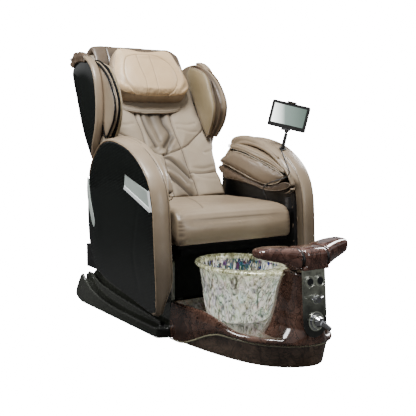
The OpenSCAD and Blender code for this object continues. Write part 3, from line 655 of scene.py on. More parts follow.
def arm_sweep(name, side):
    """The padded band round the arm with its top seam and rolled inner edge, as one closed sweep."""
    inward = -normals2(arm_o, 3)
    seg = np.linalg.norm(np.roll(arm_o, -1, 0) - arm_o, axis=1)
    t0 = normals2(arm_o)
    bend = np.arccos(np.clip((t0 * np.roll(t0, -1, 0)).sum(1), -1, 1)) / np.maximum(seg, 1e-6)
    for _ in range(6):
        bend = (np.roll(bend, 1) + 2 * bend + np.roll(bend, -1)) / 4
    limit = 0.75 / np.maximum(bend, 1e-4)
    rs = []
    fine = loop(BAND_PROFILE, 2)
    slim = 1 - 0.8 * ease((790 - arm_o[:, 1]) / 130)
    for x, d in fine:
        dd = np.where(d > 0, np.minimum(d, limit), d)
        p = arm_o + inward * dd[:, None]
        xs = np.where(x > -356, -356 + (x + 356) * slim, x)
        xs = xs - 46 * ease((330 - p[:, 1]) / 140) * ease((x + 431) / 80) * (p[:, 0] < -250)
        rs.append(np.stack([-side * xs, p[:, 0], p[:, 1]], 1))
    ob = rings(name, rs, closed=True)
    refine(ob)
    co = coords(ob)
    away = np.abs(co[:, 0]) - 358
    d0 = line_dist(co[:, 1:], shut(arm_o))
    outer = d0 < 6
    # painted shade in the top seam's groove
    fold_shade = bell(away, 1.6) * outer
    no = vnormals(ob)
    give = 0.7 * wobble(co, 60, 1.0 + side) + 0.25 * wobble(co, 17, 3.0)
    pucker = 0.5 * np.sin(co[:, 1] / 4.1 + co[:, 2] / 5.3) * bell(np.abs(away) - 5, 4) * outer
    push(ob, co, no, give + pucker)
    y, z = co[:, 1], co[:, 2]
    base = lower_edge(co[:, 1:])
    far = coords(ob)
    far[:, 0] -= side * base * np.maximum(np.abs(far[:, 0]) - 421, 0)
    set_coords(ob, far)
    # painted shade: the band darkens toward its lower front, along its wrapped lower edge and, on the right arm, on
    # the inner roll below the pads
    low = 0.8 * ease((640 - z) / 340) * ease((-200 - y) / 80)
    if side > 0:
        low = np.maximum(low, 0.8 * ease((1 - away) / 4) * ease((735 - z) / 60))
    crease_shade(ob, np.maximum(np.maximum(fold_shade, base), low))
    return ob


def arm_shell(name, side):
    """The polished side shell: a shallow dome with a rolled rim and a pocket for the window."""
    out = arm_o - normals2(arm_o, 2) * (8.5 - 7.5 * lower_edge(arm_o))[:, None]
    ob = plate(name, [out[::-1]], 419.3, 429, 3.0, yz_place(side))
    soften(ob, 4.0, 3, fine=1)
    co, no = skin(ob)
    d = line_dist(co[:, 1:], shut(out))
    rise = 5.5 * dome(d, 150)
    outward = ease((no[:, 0] * side - 0.3) / 0.5)
    sill = line_dist(co[:, 1:], shut(WINDOW))
    pocket = np.where(inside(co[:, 1:], np.array(WINDOW, float)), 1.0, 0.0) * ease(sill / 4)
    split = line_dist(co[:, 1:], curve([(-441, 797), (-390, 735), (-330, 640), (-292, 520), (-275, 400),
        (-320, 268)], 6))
    rise = rise - 5.0 * pocket - 0.9 * bell(split, 16)
    co[:, 0] += side * rise * outward
    set_coords(ob, co)
    return ob


WINDOW = [(-205, 752), (-192, 690), (-424, 608), (-436, 612), (-414, 690)]


for side, tag in ((-1, "left"), (1, "right")):
    body = "carriage"
    finish(arm_sweep(f"arm_band_pad_{tag}", side), TAUPE, body, [f"arm_band_{tag}"])
    finish(arm_shell(f"arm_side_{tag}", side), BLACK, body, [f"arm_shell_{tag}"])
    rim = inset(arm_o, 7.2, 2)[:11 * 8]
    tube(f"arm_piping_{tag}", at_x(rim, side * ARM_FACE), 1.9, PIPING, body, sides=8)
    # the bolster along the top of the band's inner side
    line = loop(CAP, 4)
    ob = side_pad(f"arm_bolster_{tag}", side, [line], 316, 368, 15, 4.0, 6, fine=1)
    co, no = skin(ob)
    seam = np.abs(np.abs(co[:, 0]) - 346)
    push(ob, co, no, 0.8 * wobble(co, 40, side) - 1.8 * bell(seam, 2.6))
    # painted shade on the bolster's underside and in its seam
    sill = ease((0.25 - no[:, 2]) / 0.5) * ease((330 - np.abs(co[:, 0])) / 12)
    crease_shade(ob, np.maximum(bell(seam, 1.8) * (no[:, 2] > 0.1), 0.5 * sill))
    finish(ob, TAUPE, body, [f"arm_band_{tag}"])
    # inner panel round the forearm opening, in the hide with painted shade at the front of the recess
    hole = loop(POD_HOLE, 4)
    outer = inset(arm_o, 18, 3)
    if side < 0:
        outer[:, 0] += 105 * ease((640 - outer[:, 1]) / 60) * ease((-330 - outer[:, 0]) / 60)
    ob = side_pad(f"arm_inner_{tag}", side, [outer, hole], 314.5, 343, 5, 5.0, 3)
    crown_pad(ob, hole, 1.5, 40, 0.5, side)
    finish(ob, SHADED, body, [f"arm_pod_{tag}"])
    # upper roll
    line = loop(ROLL, 4)
    sunk = 28 if side < 0 else 0
    ob = side_pad(f"arm_roll_pad_{tag}", side, [line], 264 + sunk, PAD_FOOT, 8, 3.5, 3, fine=1)
    set_coords(ob, tuck(coords(ob)))
    crown_pad(ob, line, 1, 20, 0.7, 2 + side)
    finish(ob, TAUPE, body, [f"arm_roll_{tag}"])
    rim = inset(line, 1.0)
    tube(f"arm_roll_welt_{tag}", tuck(at_x(rim, side * (267.0 + sunk))), 2.0, BACK, body,
        closed=True)
    # a flat black tube under the roll: painted shadow in the gap
    under = curve([(-371, 738), (-323, 751), (-265, 778), (-193, 804), (-123, 826), (-42, 839), (4, 843)], 5)
    tube(f"arm_roll_gap_{tag}", tuck(at_x(under, side * (269.0 + sunk))), 4.0, FLAT, body)
    for nm, pts, inner, mat, bev in (("mid", MIDPAD, 256, MID_SHADED_HIDE, 14), ("low", LOWPAD, 264, DARKHIDE, 9)):
        line, inner = loop(pts, 3), inner + sunk
        ob = side_pad(f"arm_pad_{nm}_{tag}", side, [line], inner, PAD_FOOT, bev, 4.0, 3)
        puff(ob, 6)
        refine(ob)
        set_coords(ob, tuck(coords(ob)))
        co, no = skin(ob)
        rimd = line_dist(co[:, 1:], shut(line))
        pull = bell(rimd - 6, 14) * ease((PAD_FOOT - np.abs(co[:, 0])) / 20)
        phase = co[:, 1] / 6.5 + 1.7 * np.sin(co[:, 1] / 23) + 0.02 * co[:, 2]
        move = 0.7 * pull * np.sin(phase) + 1.8 * wobble(co, 42, 4 + side) + 0.7 * wobble(co, 19, 2)
        push(ob, co, no, move)
        # painted shade in the pull folds along the rim and on the faces next to the arm
        crease_shade(ob, 0.15 * pull * ease(-np.sin(phase)) + 0.6 * ease((np.abs(co[:, 0]) - 285) / 30))
        finish(ob, mat, body, [f"arm_pads_{tag}"])
        rim = inset(line, 3.0)
        tube(f"arm_pad_{nm}_welt_{tag}", tuck(at_x(rim, side * (inner + 5.0))), 2.1,
            BACK if nm == "mid" else LOW_SHADED_HIDE, body, closed=True)
    ob = plate(f"arm_window_{tag}", [inset(np.array(WINDOW[::-1], float), -1)], 427, 433, 1.8, yz_place(side))
    finish(ob, PANE, body, ["arm_windows"], smooth=False)
    # a near-white lip along the window's lower edge and front end: a painted highlight
    lip = np.array([(-194, 686), (-424, 604), (-440, 608), (-417, 694), (-406, 690), (-422, 624), (-203, 702)], float)
    ob = plate(f"arm_window_edge_{tag}", [lip], 428.0, 435.2, 2.4, yz_place(side))
    finish(ob, BRIGHT, body, smooth=False)
    strip = np.array([(193, 716), (176, 650), (158, 600), (121, 527), (118, 500), (130, 484), (158, 520),
        (185, 580), (201, 640), (199, 690)], float)
    ob = plate(f"arm_strip_{tag}", [loop(strip, 4)], 427, 434.4, 2.6, yz_place(side))
    finish(ob, PANE, body)


# ---- seat cushion
SEAT = [(78, 454), (78, 590), (70, 600), (40, 603), (-180, 606), (-340, 602), (-392, 597), (-424, 583),
    (-440, 560), (-445, 520), (-444, 480), (-438, 458), (-424, 453)]
seat_line = np.array(SEAT, float)
ob = plate("seat_pad", [seat_line[::-1]], -305, 305, 17, yz_place(1))
soften(ob, 6.0, 5)
puff(ob, 5, hold=lambda c: (c[:, 2] < 458) | (c[:, 1] > 70))
refine(ob)
co, no = skin(ob)
top = ease((no[:, 2] - 0.3) / 0.4)
front = ease((-no[:, 1] - 0.3) / 0.4)
gx = np.clip(np.abs(co[:, 0]) / 305, 0, 1)
move = top * 6 * (1 - gx ** 2.5) + front * 3.5 * (1 - gx ** 3) * bell(co[:, 2] - 525, 70)
d = line_dist(co[:, :2], curve([(-8, 90), (4, 20), (-26, -80), (-70, -190), (-144, -376)], 6))
move -= 3.2 * bell(d, 4.5) * top
# painted shade in the seat's seam, along the front ridge and in the rucks at the front corners
fold_shade = bell(d, 2.2) * top
ridge = np.hypot(co[:, 1] + 400, co[:, 2] - 599)
sewn = 0.12 + 0.88 * ease((-40 - co[:, 0]) / 160)
move += sewn * (1.6 * bell(ridge - 7, 5.0) - 3.0 * bell(ridge, 3.6))
fold_shade = np.maximum(fold_shade, 0.9 * sewn * bell(ridge, 2.6))
for x0 in (-292, 296):
    pull = bell(co[:, 0] - x0, 17) * front
    ruck = np.sin(co[:, 2] / 3.6 + 2.2 * np.sin(co[:, 2] / 17))
    move += pull * (0.5 * ruck - 2.5)
    fold_shade = np.maximum(fold_shade, pull * (0.28 + 0.3 * ease(-ruck * 1.3)))
move += 1.0 * wobble(co, 85, 5) + 0.4 * wobble(co, 24, 8)
push(ob, co, no, move)
crease_shade(ob, fold_shade)
finish(ob, TAUPE, "carriage", ["seat_cushion"])


# ---- back cushion
CUSH = [(-296, 6), (-298, 120), (-300, 240), (-316, 300), (-316, 352), (-296, 400), (-282, 460), (-276, 540),
    (-276, 640), (-272, 846)]


half = curve(CUSH, 4)
cush_line = np.concatenate([half, half[::-1] * [-1, 1]])
ob = plate("back_pad", [cush_line], 0, 70, 20, from_back)
soften(ob, 6.0, 5, fine=1)
q, face = back_skin(ob)
xs = q[:, :2]
# each seam's points, its depth and its width
B_R = [(124, 144), (169, 136), (230, 138), (296, 146)]
SEAMS = [([(-103, 500), (-97, 442), (-88, 383), (-86, 282)], 9, 7), ([(104, 500), (102, 423), (107, 349),
    (117, 282), (121, 170), (132, 85), (136, 4)], 10, 7), ([(-86, 282), (-100, 190), (-120, 90), (-132, 4)], 8, 7),
    ([(-86, 280), (-54, 275), (-4, 250), (50, 266), (104, 280)], 7, 6), ([(-2, 250), (-6, 180), (-10, 100),
    (-8, 4)], 6, 6), ([(118, 287), (160, 305), (195, 332), (278, 394)], 6.5, 6), ([(-92, 312), (-130, 330),
    (-175, 357), (-226, 382), (-278, 396)], 6.5, 6), (B_R, 4.5, 8), ([(-x, s) for x, s in B_R], 4.5, 8)]
near = np.full(len(xs), 1e9)
move = np.zeros(len(xs))
fold_shade = np.zeros(len(xs))
for pts, depth, width in SEAMS:
    d = line_dist(xs, curve(pts, 5))
    near = np.minimum(near, d)
    move -= depth * bell(d, width)
    fold_shade = np.maximum(fold_shade, bell(d, 2.6))
move += 11 * (1 - bell(near, 34))
# the slack centre channel and its folds
channel = ease((100 - np.abs(xs[:, 0] - 4)) / 60) * ease((xs[:, 1] - 235) / 60)
move -= 13 * channel
soft = [([(-72, 500), (-64, 440), (-56, 390), (-30, 300)], 7, 9), ([(58, 500), (52, 436), (72, 369), (19, 300)],
    9, 15), ([(-20, 500), (-12, 420), (2, 330)], 4, 13), ([(24, 262), (58, 320), (84, 352)], 6, 11),
    ([(10, 236), (34, 218), (78, 160), (114, 116)], 13, 14), ([(-4, 132), (30, 88), (66, 40), (92, 12)], 14, 14),
    ([(2, 180), (50, 130), (80, 80)], 4, 12), ([(-80, 240), (-50, 170), (-28, 110)], 8, 14),
    ([(-110, 150), (-70, 90), (-30, 40)], 8, 14), ([(130, 430), (180, 420), (232, 428)], 2.2, 9),
    ([(126, 400), (185, 380), (240, 382)], 2.0, 8), ([(240, 250), (285, 262), (308, 268)], 2.4, 8),
    ([(150, 120), (200, 104), (262, 96)], 2.4, 10), ([(148, 168), (205, 160), (270, 172)], 1.8, 9),
    ([(-130, 430), (-180, 420), (-232, 428)], 2.2, 9), ([(-240, 250), (-285, 262), (-308, 268)], 2.4, 8),
    ([(-150, 120), (-200, 104), (-262, 96)], 2.4, 10)]
for pts, depth, width in soft:
    d = line_dist(xs, curve(pts, 5))
    k = 1.25 if depth > 3 else 1.2
    move += k * depth * (-bell(d, width) + 0.15 * bell(d - 1.9 * width, width))
    if depth > 3.5:
        fold_shade = np.maximum(fold_shade, min(0.15 * depth, 0.96) * bell(d, 0.95 * width))
# painted shade: the seams, deep folds and centre channel darken, the channel most near its top, and so do the lower
# folds and the strip under the apron
fold_shade = np.maximum(fold_shade, channel * (0.36 + 0.44 * ease((xs[:, 1] - 370) / 110)))
lower = ease((12 + xs[:, 0]) / 40) * ease((125 - xs[:, 0]) / 30) * ease((240 - xs[:, 1]) / 60)
fold_shade = np.maximum(fold_shade, 0.46 * lower)
under = line_dist(xs, curve([(-170, 522), (-100, 490), (0, 485), (100, 490), (170, 522)], 5))
fold_shade = np.maximum(fold_shade, 0.6 * bell(under, 12))
move += 1.3 * wobble(q, 60, 2) + 0.5 * wobble(q, 21, 6)
q[:, 2] -= face * move
set_coords(ob, from_back(q))
# painted shade at the upper sides by the wings, and on every face turned away from the sitter
side_shade = ease((np.abs(xs[:, 0]) - 222) / 45) * ease((xs[:, 1] - 420) / 80)
fold_shade = np.maximum(fold_shade, 0.55 * side_shade)
crease_shade(ob, np.maximum(fold_shade * face, 0.5 * (1 - face)))
finish(ob, BACK, "backrest", ["back_cushion"])


# ---- pillow, apron and hood
PIL = [(-132, 551), (-184, 560), (-213, 602), (-220, 650), (-208, 720), (-182, 784), (-164, 820), (-130, 836),
    (0, 826), (130, 836), (164, 820), (182, 784), (208, 720), (220, 650), (213, 602), (184, 560), (132, 551),
    (0, 550)]
pil = loop(PIL, 4)


def pil_ring(k, yl, ds):
    """The pillow's outline scaled by k, at depth yl and moved ds along the back."""
    smile = 16 * ease((620 - pil[:, 1]) / 60) * (pil[:, 0] / 190) ** 2 * ease((-60 - yl) / 50)
    bow = 10 * (pil[:, 0] / 200) ** 2 * ease((-80 - yl) / 30)
    return from_back(np.stack([pil[:, 0] * k, 706 + ds + (pil[:, 1] - 706) * k + smile,
        np.full(len(pil), yl) + bow], 1))


ob = rings("head_pillow", [pil_ring(*cut) for cut in ((0.7, -112, -24), (0.82, -114, -20), (0.92, -111, -15),
    (0.975, -101, -9), (0.995, -86, -2), (1, -60, 0), (1, -20, 0), (0.975, -6, 0), (0.95, -1, 0))])
soften(ob, 5.0, 5)
puff(ob, 8, hold=lambda c: to_back(c)[:, 2] > -8)
refine(ob)
q, face = back_skin(ob, 0.35, 0.35)
xs = q[:, :2]
OVAL = loop([(-108, 771), (-140, 741), (-160, 660), (-150, 590), (-112, 552), (-20, 540), (60, 548), (108, 578),
    (137, 632), (134, 690), (103, 742), (48, 772), (-30, 778)], 5)
V1 = curve([(-70, 774), (-68, 700), (-58, 620), (-64, 543)], 5)
V2 = curve([(2, 778), (7, 700), (4, 620), (0, 541)], 5)
EDGE = loop([(-150, 800), (-190, 735), (-207, 650), (-198, 585), (-170, 553), (-90, 541), (0, 538), (90, 541),
    (170, 553), (198, 585), (207, 650), (190, 735), (150, 800), (0, 806)], 5)
move, fold_shade = np.zeros(len(xs)), np.zeros(len(xs))
d_oval = line_dist(xs, shut(OVAL))
for line, depth, width in ((shut(OVAL), 2.6, 4.5), (V1, 1.6, 4), (V2, 1.6, 4)):
    d = line_dist(xs, line)
    move -= depth * bell(d, width)
    fold_shade = np.maximum(fold_shade, 0.6 * bell(d, 2.1) * face)
move += 4.0 * inside(xs, OVAL) * (1 - bell(d_oval, 30))
hem = line_dist(xs, EDGE)
low = ease((650 - xs[:, 1]) / 60)
phase = xs[:, 0] / 7.5 + 1.5 * np.sin(xs[:, 0] / 31)
move += 9 * dome(hem, 75) - 4
move += low * bell(hem, 13) * (2.2 * np.sin(phase) - 1.6)
fold_shade = np.maximum(fold_shade, 0.5 * low * bell(hem, 2.6))
for cx, cs in ((186, 590), (-186, 590)):
    near = bell(np.hypot(xs[:, 0] - cx, xs[:, 1] - cs), 48)
    turn = np.arctan2(xs[:, 1] - cs + 60, xs[:, 0] - cx * 0.55)
    move += near * 3.4 * np.sin(turn * 13 + 1)
    fold_shade = np.maximum(fold_shade, 0.45 * near * ease(-np.sin(turn * 13 + 1) * 1.4))
move += 1.6 * wobble(q, 70, 4) + 0.7 * wobble(q, 22, 7)
q[:, 2] -= move * np.maximum(face, 0.5 * low)
# painted shade: the seams, the hem's folds, the corner puckers and the flanks darken
flank = ease((q[:, 2] + 96) / 70) * ease((0.6 - face) / 0.5)
fold_shade = np.maximum(fold_shade, 0.5 * flank)
set_coords(ob, from_back(q))
crease_shade(ob, fold_shade)
finish(ob, PILLOW, "backrest", ["pillow"])
# painted shade: faces behind the pillow's front take the darker copy of its hide
ob.data.materials.append(FLANK_SHADED)
ctr = to_back(np.array([p.center for p in ob.data.polygons]) / MM)
ob.data.polygons.foreach_set("material_index", (ctr[:, 2] > -88).astype(int))

apron = np.concatenate([[(-176, 560), (-176, 524)], curve([(-176, 524), (-160, 505), (-100, 492), (0, 487),
    (100, 492), (160, 505), (176, 524)], 5)[1:], [(176, 560)]])
ob = plate("neck_flap", [apron], -17, -2, 6, from_back)
soften(ob, 3.5, 3, fine=1)
q, face = back_skin(ob)
hem = line_dist(q[:, :2], apron[1:-1] + [0, 7])
# painted shade along the hem
fold_shade = 0.8 * bell(hem, 1.6) * face
wave = 2.2 * np.sin(q[:, 0] / 23 + 0.6) * ease((545 - q[:, 1]) / 40) * bell(q[:, 0], 120)
q[:, 2] -= face * (wave - 1.6 * bell(hem, 2.6) + 0.6 * wobble(q, 30, 3))
set_coords(ob, from_back(q))
crease_shade(ob, fold_shade)
finish(ob, BACK, "backrest", ["neck_apron"])

hood_line = np.concatenate([curve([(152, 772), (154, 850), (142, 890), (100, 908), (20, 908), (-14, 894),
    (-24, 862), (-22, 800), (-14, 772)], 4), [(-7, 772), (-4, 852), (0, 868), (148, 868), (148, 772)]])
ob = plate("head_hood_pad", [hood_line], -256, 256, 12, lambda c: from_back(c[:, ::-1]))
soften(ob, 4.5, 4, fine=1)
co, no = skin(ob)
q = to_back(co)
sag = ease((np.abs(q[:, 0]) - 185) / 75)
q[:, 1] -= 26 * sag ** 2 * ease((q[:, 1] - 800) / 60) * (q[:, 0] > 0) + 8 * sag * (q[:, 1] > 860)
co = from_back(q)
move = 1.5 * wobble(q, 48, 1) + 0.6 * wobble(q, 17, 5)
fold_shade = np.zeros(len(co))
for x0 in (-172, 172):
    d = np.abs(q[:, 0] - x0 - 0.08 * (q[:, 2] - 60))
    move -= 2.4 * bell(d, 4)
    fold_shade = np.maximum(fold_shade, bell(d, 2))
push(ob, co, no, move)
# painted shadow round the pillow, and a little painted shade over all of the hood's face
shade = line_dist(q[:, :2], shut(pil))
shade = np.where(inside(q[:, :2], pil), 0, shade)
fold_shade = np.maximum(fold_shade, np.where(q[:, 2] < 40, 0.62 * bell(shade, 20) + 0.12, 0))
crease_shade(ob, fold_shade)
finish(ob, HOOD_SHADED_HIDE, "backrest", ["head_hood"])


# ---- wings
BAND_W = curve([(352, 786), (294, 878), (256, 980), (247, 1085), (263, 1186), (305, 1259), (370, 1302),
    (450, 1314), (545, 1300)], 6)
BAND_V = curve([(358, 818), (309, 891), (273, 984), (266, 1085), (281, 1177), (320, 1243), (376, 1281),
    (440, 1292), (540, 1279.5)], 6)
TAIL = np.array([(400, 1276), (470, 1284), (530, 1274), (556, 1258), (598, 1280), (576, 1296), (596, 1308),
    (556, 1314), (545, 1332), (480, 1336), (420, 1322)], float)
MID_W = [(400, 1282), (318, 1266), (220, 1205), (152, 1120), (131, 1055), (152, 985), (205, 925), (238, 905),
    (262, 940), (300, 1003), (350, 1088), (400, 1172), (436, 1240)]
INN_W = [(395, 1274), (330, 1266), (255, 1235), (188, 1160), (152, 1080), (148, 1030), (166, 968), (205, 915),
    (222, 912), (258, 950), (300, 1015), (350, 1098), (396, 1176), (424, 1238)]

for side, tag in ((-1, "left"), (1, "right")):
    out = inset(wing_o, 12.0, 2)
    ob = side_pad(f"wing_side_{tag}", side, [out[::-1]], 320.5, 338, 5, 4.0, 3, fine=1)
    co, no = skin(ob)
    d = line_dist(co[:, 1:], shut(out))
    co[:, 0] += side * 9 * dome(d, 90) * ease((no[:, 0] * side - 0.3) / 0.5)
    set_coords(ob, co)
    finish(ob, BLACK, "backrest", [f"wing_shell_{tag}"])
    # the band: a full roll along the wing's edge
    if side < 0:
        ob = side_pad(f"wing_tail_{tag}", side, [loop(TAIL, 3)], 318, 350, 6, 3.5, 3, fine=1)
        co, no = skin(ob)
        push(ob, co, no, 2.2 * wobble(co, 20, 3) + 1.2 * wobble(co, 9, 5))
        finish(ob, DARKHIDE, "backrest", [f"wing_band_{tag}"])
    rs = []
    a = round_angles(28)
    off, lat = (np.sign(k) * np.abs(k) ** 0.8 for k in (np.cos(a), np.sin(a)))
    for t, w, v in zip(np.linspace(0, 1, 43).clip(0.001, 0.999), BAND_W, BAND_V):
        swell = min(1.0, math.sin(math.pi * t) * 2.2 + 0.12)
        c, u = (w + v) / 2, (w - v) / 2 * swell ** 0.3
        rs.append(np.stack([side * (337 + 20 * swell * lat), c[0] + u[0] * off, c[1] + u[1] * off], 1))
    ob = rings(f"wing_roll_{tag}", rs)
    refine(ob)
    finish(ob, TAUPE, "backrest", [f"wing_band_{tag}"])
    ob = plate(f"wing_lining_{tag}", [inset(wing_o, 6, 2)[::-1]], 313, 320, 3, yz_place(side))
    finish(ob, TAUPE, "backrest", [f"wing_band_{tag}"])
    # the gap tubes are painted shadow: flat black on the left, the darker shadow hide on the right
    slot, gap = "inner_leather", FLAT if side < 0 else DARKHIDE
    for nm, pts, w0, w1, mat in (("mid", MID_W, 294, 312 if side < 0 else 332, TAUPE),
            ("inner", INN_W, 262, 284, INNER)):
        line = loop(pts, 4)
        if side > 0 and nm == "inner":
            line[:, 0] += 16 * ease((230 - line[:, 0]) / 60)
        ob = side_pad(f"wing_pad_{nm}_{tag}", side, [line], w0, w1, 8, 4.0, 3, fine=1)
        crown_pad(ob, line, 5, 45, 0.5, side + w0)
        if nm == "mid":
            # painted shade on the mid pad's inner face beside the inner pad
            co = coords(ob)
            reach = line_dist(co[:, 1:], shut(INN_W))
            crease_shade(ob, 0.85 * ease((318 - np.abs(co[:, 0])) / 12) * ease((24 - reach) / 14))
        finish(ob, mat, "backrest", [f"wing_pads_{tag}"])
        rim = inset(line, -0.5)
        tube(f"wing_pad_{nm}_welt_{tag}", at_x(rim, side * (w0 + 4.0)), 2.4,
            BACK if side < 0 or nm == "inner" else LOW_SHADED_HIDE, "backrest", closed=True)
        if nm == "mid":
            deep = inset(line, 3.0)
            tube(f"wing_gap_{tag}", at_x(deep, side * 289.0), 4.8, gap, "backrest", closed=True)
        wide = 4.8 if side < 0 else 3.6
        tube(f"wing_pad_{nm}_gap_{tag}", at_x(rim, side * (w1 - 0.5)), wide, gap, "backrest", closed=True)


# ---- basin
def from_cad(node, name, voxel, rounds, mat, body):
    """A copy of a CAD node with its edges rounded."""
    me = NODE[node].data.copy()
    me.materials.clear()
    ob = bpy.data.objects.new(name, me)
    scene.collection.objects.link(ob)
    soften(ob, voxel, rounds)
    return finish(ob, mat, body, [node])


from_cad("base_tub", "basin_tub", 4.0, 12, MARBLE, "base")
from_cad("base_plinth", "basin_plinth", 4.0, 3, PLINTH, "base")
wings = from_cad("footrest", "footrest_wings", 3.0, 10, REST, "rest")
# the pin turns freely in the hub
co = coords(wings)
pin = np.abs(co[:, 0] - COL_X) < 63
co[pin, 1:] = HUB + 0.7 * (co[pin, 1:] - HUB)
set_coords(wings, co)
from_cad("footrest_hub", "footrest_saddle", 3.0, 6, REST, "base")
for tag in ("left", "right"):
    from_cad(f"side_cover_{tag}", f"base_side_{tag}", 4.0, 6, SKIRT, "base")


# black plates in the gaps between the footrest's wings and hub: painted shadow
for nm, x0 in (("left", COL_X - 66), ("right", COL_X + 56.5)):
    t = round_angles(40)
    oval = HUB + np.stack([62 * np.cos(t), 40 * np.sin(t)], 1)
    ob = plate(f"footrest_slot_{nm}", [oval[::-1]], x0, x0 + 9.5, 1, yz_place(1))
    finish(ob, BLACKP, "base")


def place_panel(x, y, z):
    t = math.radians(4.2)
    return np.stack([COL_X + x, -931 + y * math.cos(t) + z * math.sin(t), 290 - y * math.sin(t) + z * math.cos(t)], 1)


# bright rings round the panel's buttons and fittings, glowing: a painted highlight
for nm, x0, y0, z0, r, thick in (("a", -25.5, -9.4, 67, 21.5, 2.2), ("b", 25.5, -9.4, 67, 21.5, 2.2),
        ("c", -25.5, -9.8, 67, 16, 1.1), ("d", 25.5, -9.8, 67, 16, 1.1), ("e", 0, -14.2, -3, 18, 1.4),
        ("f", 0, -9.4, -90, 36.5, 2.0), ("g", 0, -17.4, -90, 26, 1.6)):
    t = round_angles(64)
    tube(f"panel_ring_{nm}", place_panel(x0 + r * np.cos(t), np.full(64, float(y0)), z0 + r * np.sin(t)), thick,
        GLINT, "base", closed=True, sides=12)


PLAN = curve([(-226, -240), (-222, -330), (-205, -480), (-176, -625), (-148, -718), (-108, -795), (-52, -852),
    (10, -885), (70, -893), (122, -870), (160, -812), (185, -715), (204, -590), (218, -440), (226, -330),
    (228, -240)], 6)
way = np.gradient(PLAN, axis=0)
way /= np.linalg.norm(way, axis=1)[:, None]
out = np.stack([way[:, 1], -way[:, 0]], 1)
nose = ease((-PLAN[:, 1] - 560) / 270)
seam = PLAN + out * (5 + 13 * nose + 1.6)[:, None]
tube("seam_bead", np.stack([seam[:, 0], seam[:, 1], 92 * ease((-PLAN[:, 1] - 300) / 300) + 0.6], 1), 3.6,
    BEAD, "base")


def bowl_oval(a, b, yc, z, n=160):
    t = round_angles(n)
    return np.stack([a * np.cos(t), yc + b * np.sin(t), np.full(n, z)], 1)


BOWL = [(126, 126, -449, 115.5), (134, 134, -449, 118), (139, 140, -449, 124), (143, 145, -450, 137),
    (148, 151, -452, 160), (152, 158, -453, 182), (157, 167, -456, 212), (162, 178, -460, 246),
    (167, 190, -465, 280), (172, 201, -470, 312), (177, 212, -475, 340), (183, 224, -480, 347),
    (191, 246, -489, 350), (198, 256, -492, 353), (200.5, 258.5, -492, 357), (200, 258, -492, 362),
    (197, 255, -491, 366), (190, 247, -489, 368), (180, 226, -480, 367.5), (173, 205, -472, 366.5),
    (169, 199, -469, 363), (166, 194, -467, 352), (163, 189, -465, 325), (158, 180, -462, 290),
    (153, 169, -458, 250), (147, 157, -455, 215), (141, 146, -452, 184), (133, 135, -450, 160),
    (124, 125, -449, 149), (112, 112, -449, 142), (80, 80, -449, 139.5), (40, 40, -450, 138.5),
    (24.5, 24.5, -450, 138), (24.5, 24.5, -450, 128), (24.5, 24.5, -450, 116)]
rs = []
for k, (a, b, yc, z) in enumerate(BOWL):
    oval = bowl_oval(a, b, yc, z)
    if a > 185 or k > 17:
        t = round_angles(len(oval))
        corner = bell(t - math.radians(302), 0.46)
        reach = 1 + 0.17 * corner if a > 185 else 1 - 0.12 * corner * ease((np.array(z) - 190) / 150)
        oval[:, :2] = [0, yc] + (oval[:, :2] - [0, yc]) * reach[:, None]
    rs.append(oval)
ob = rings("glass_bowl", rs, closed=True)
refine(ob)
co, no = skin(ob)
wall = ease((co[:, 2] - 128) / 25) * ease((346 - co[:, 2]) / 18)
ang = np.arctan2(co[:, 1] + 460, co[:, 0])
ripple = np.sin(ang * 37 + 1.6 * np.sin(co[:, 2] / 19)) * np.sin(co[:, 2] / 11 + 2 * np.sin(ang * 9))
ripple += 0.7 * np.sin(ang * 61 + co[:, 2] / 15)
co += no * (wall * 1.25 * ripple)[:, None]
rimmy = ease((co[:, 2] - 350) / 8)
co[:, 2] += rimmy * 0.5 * np.sin(ang * 23) * ease((np.hypot(co[:, 0], co[:, 1] + 460) - 160) / 20)
set_coords(ob, co)


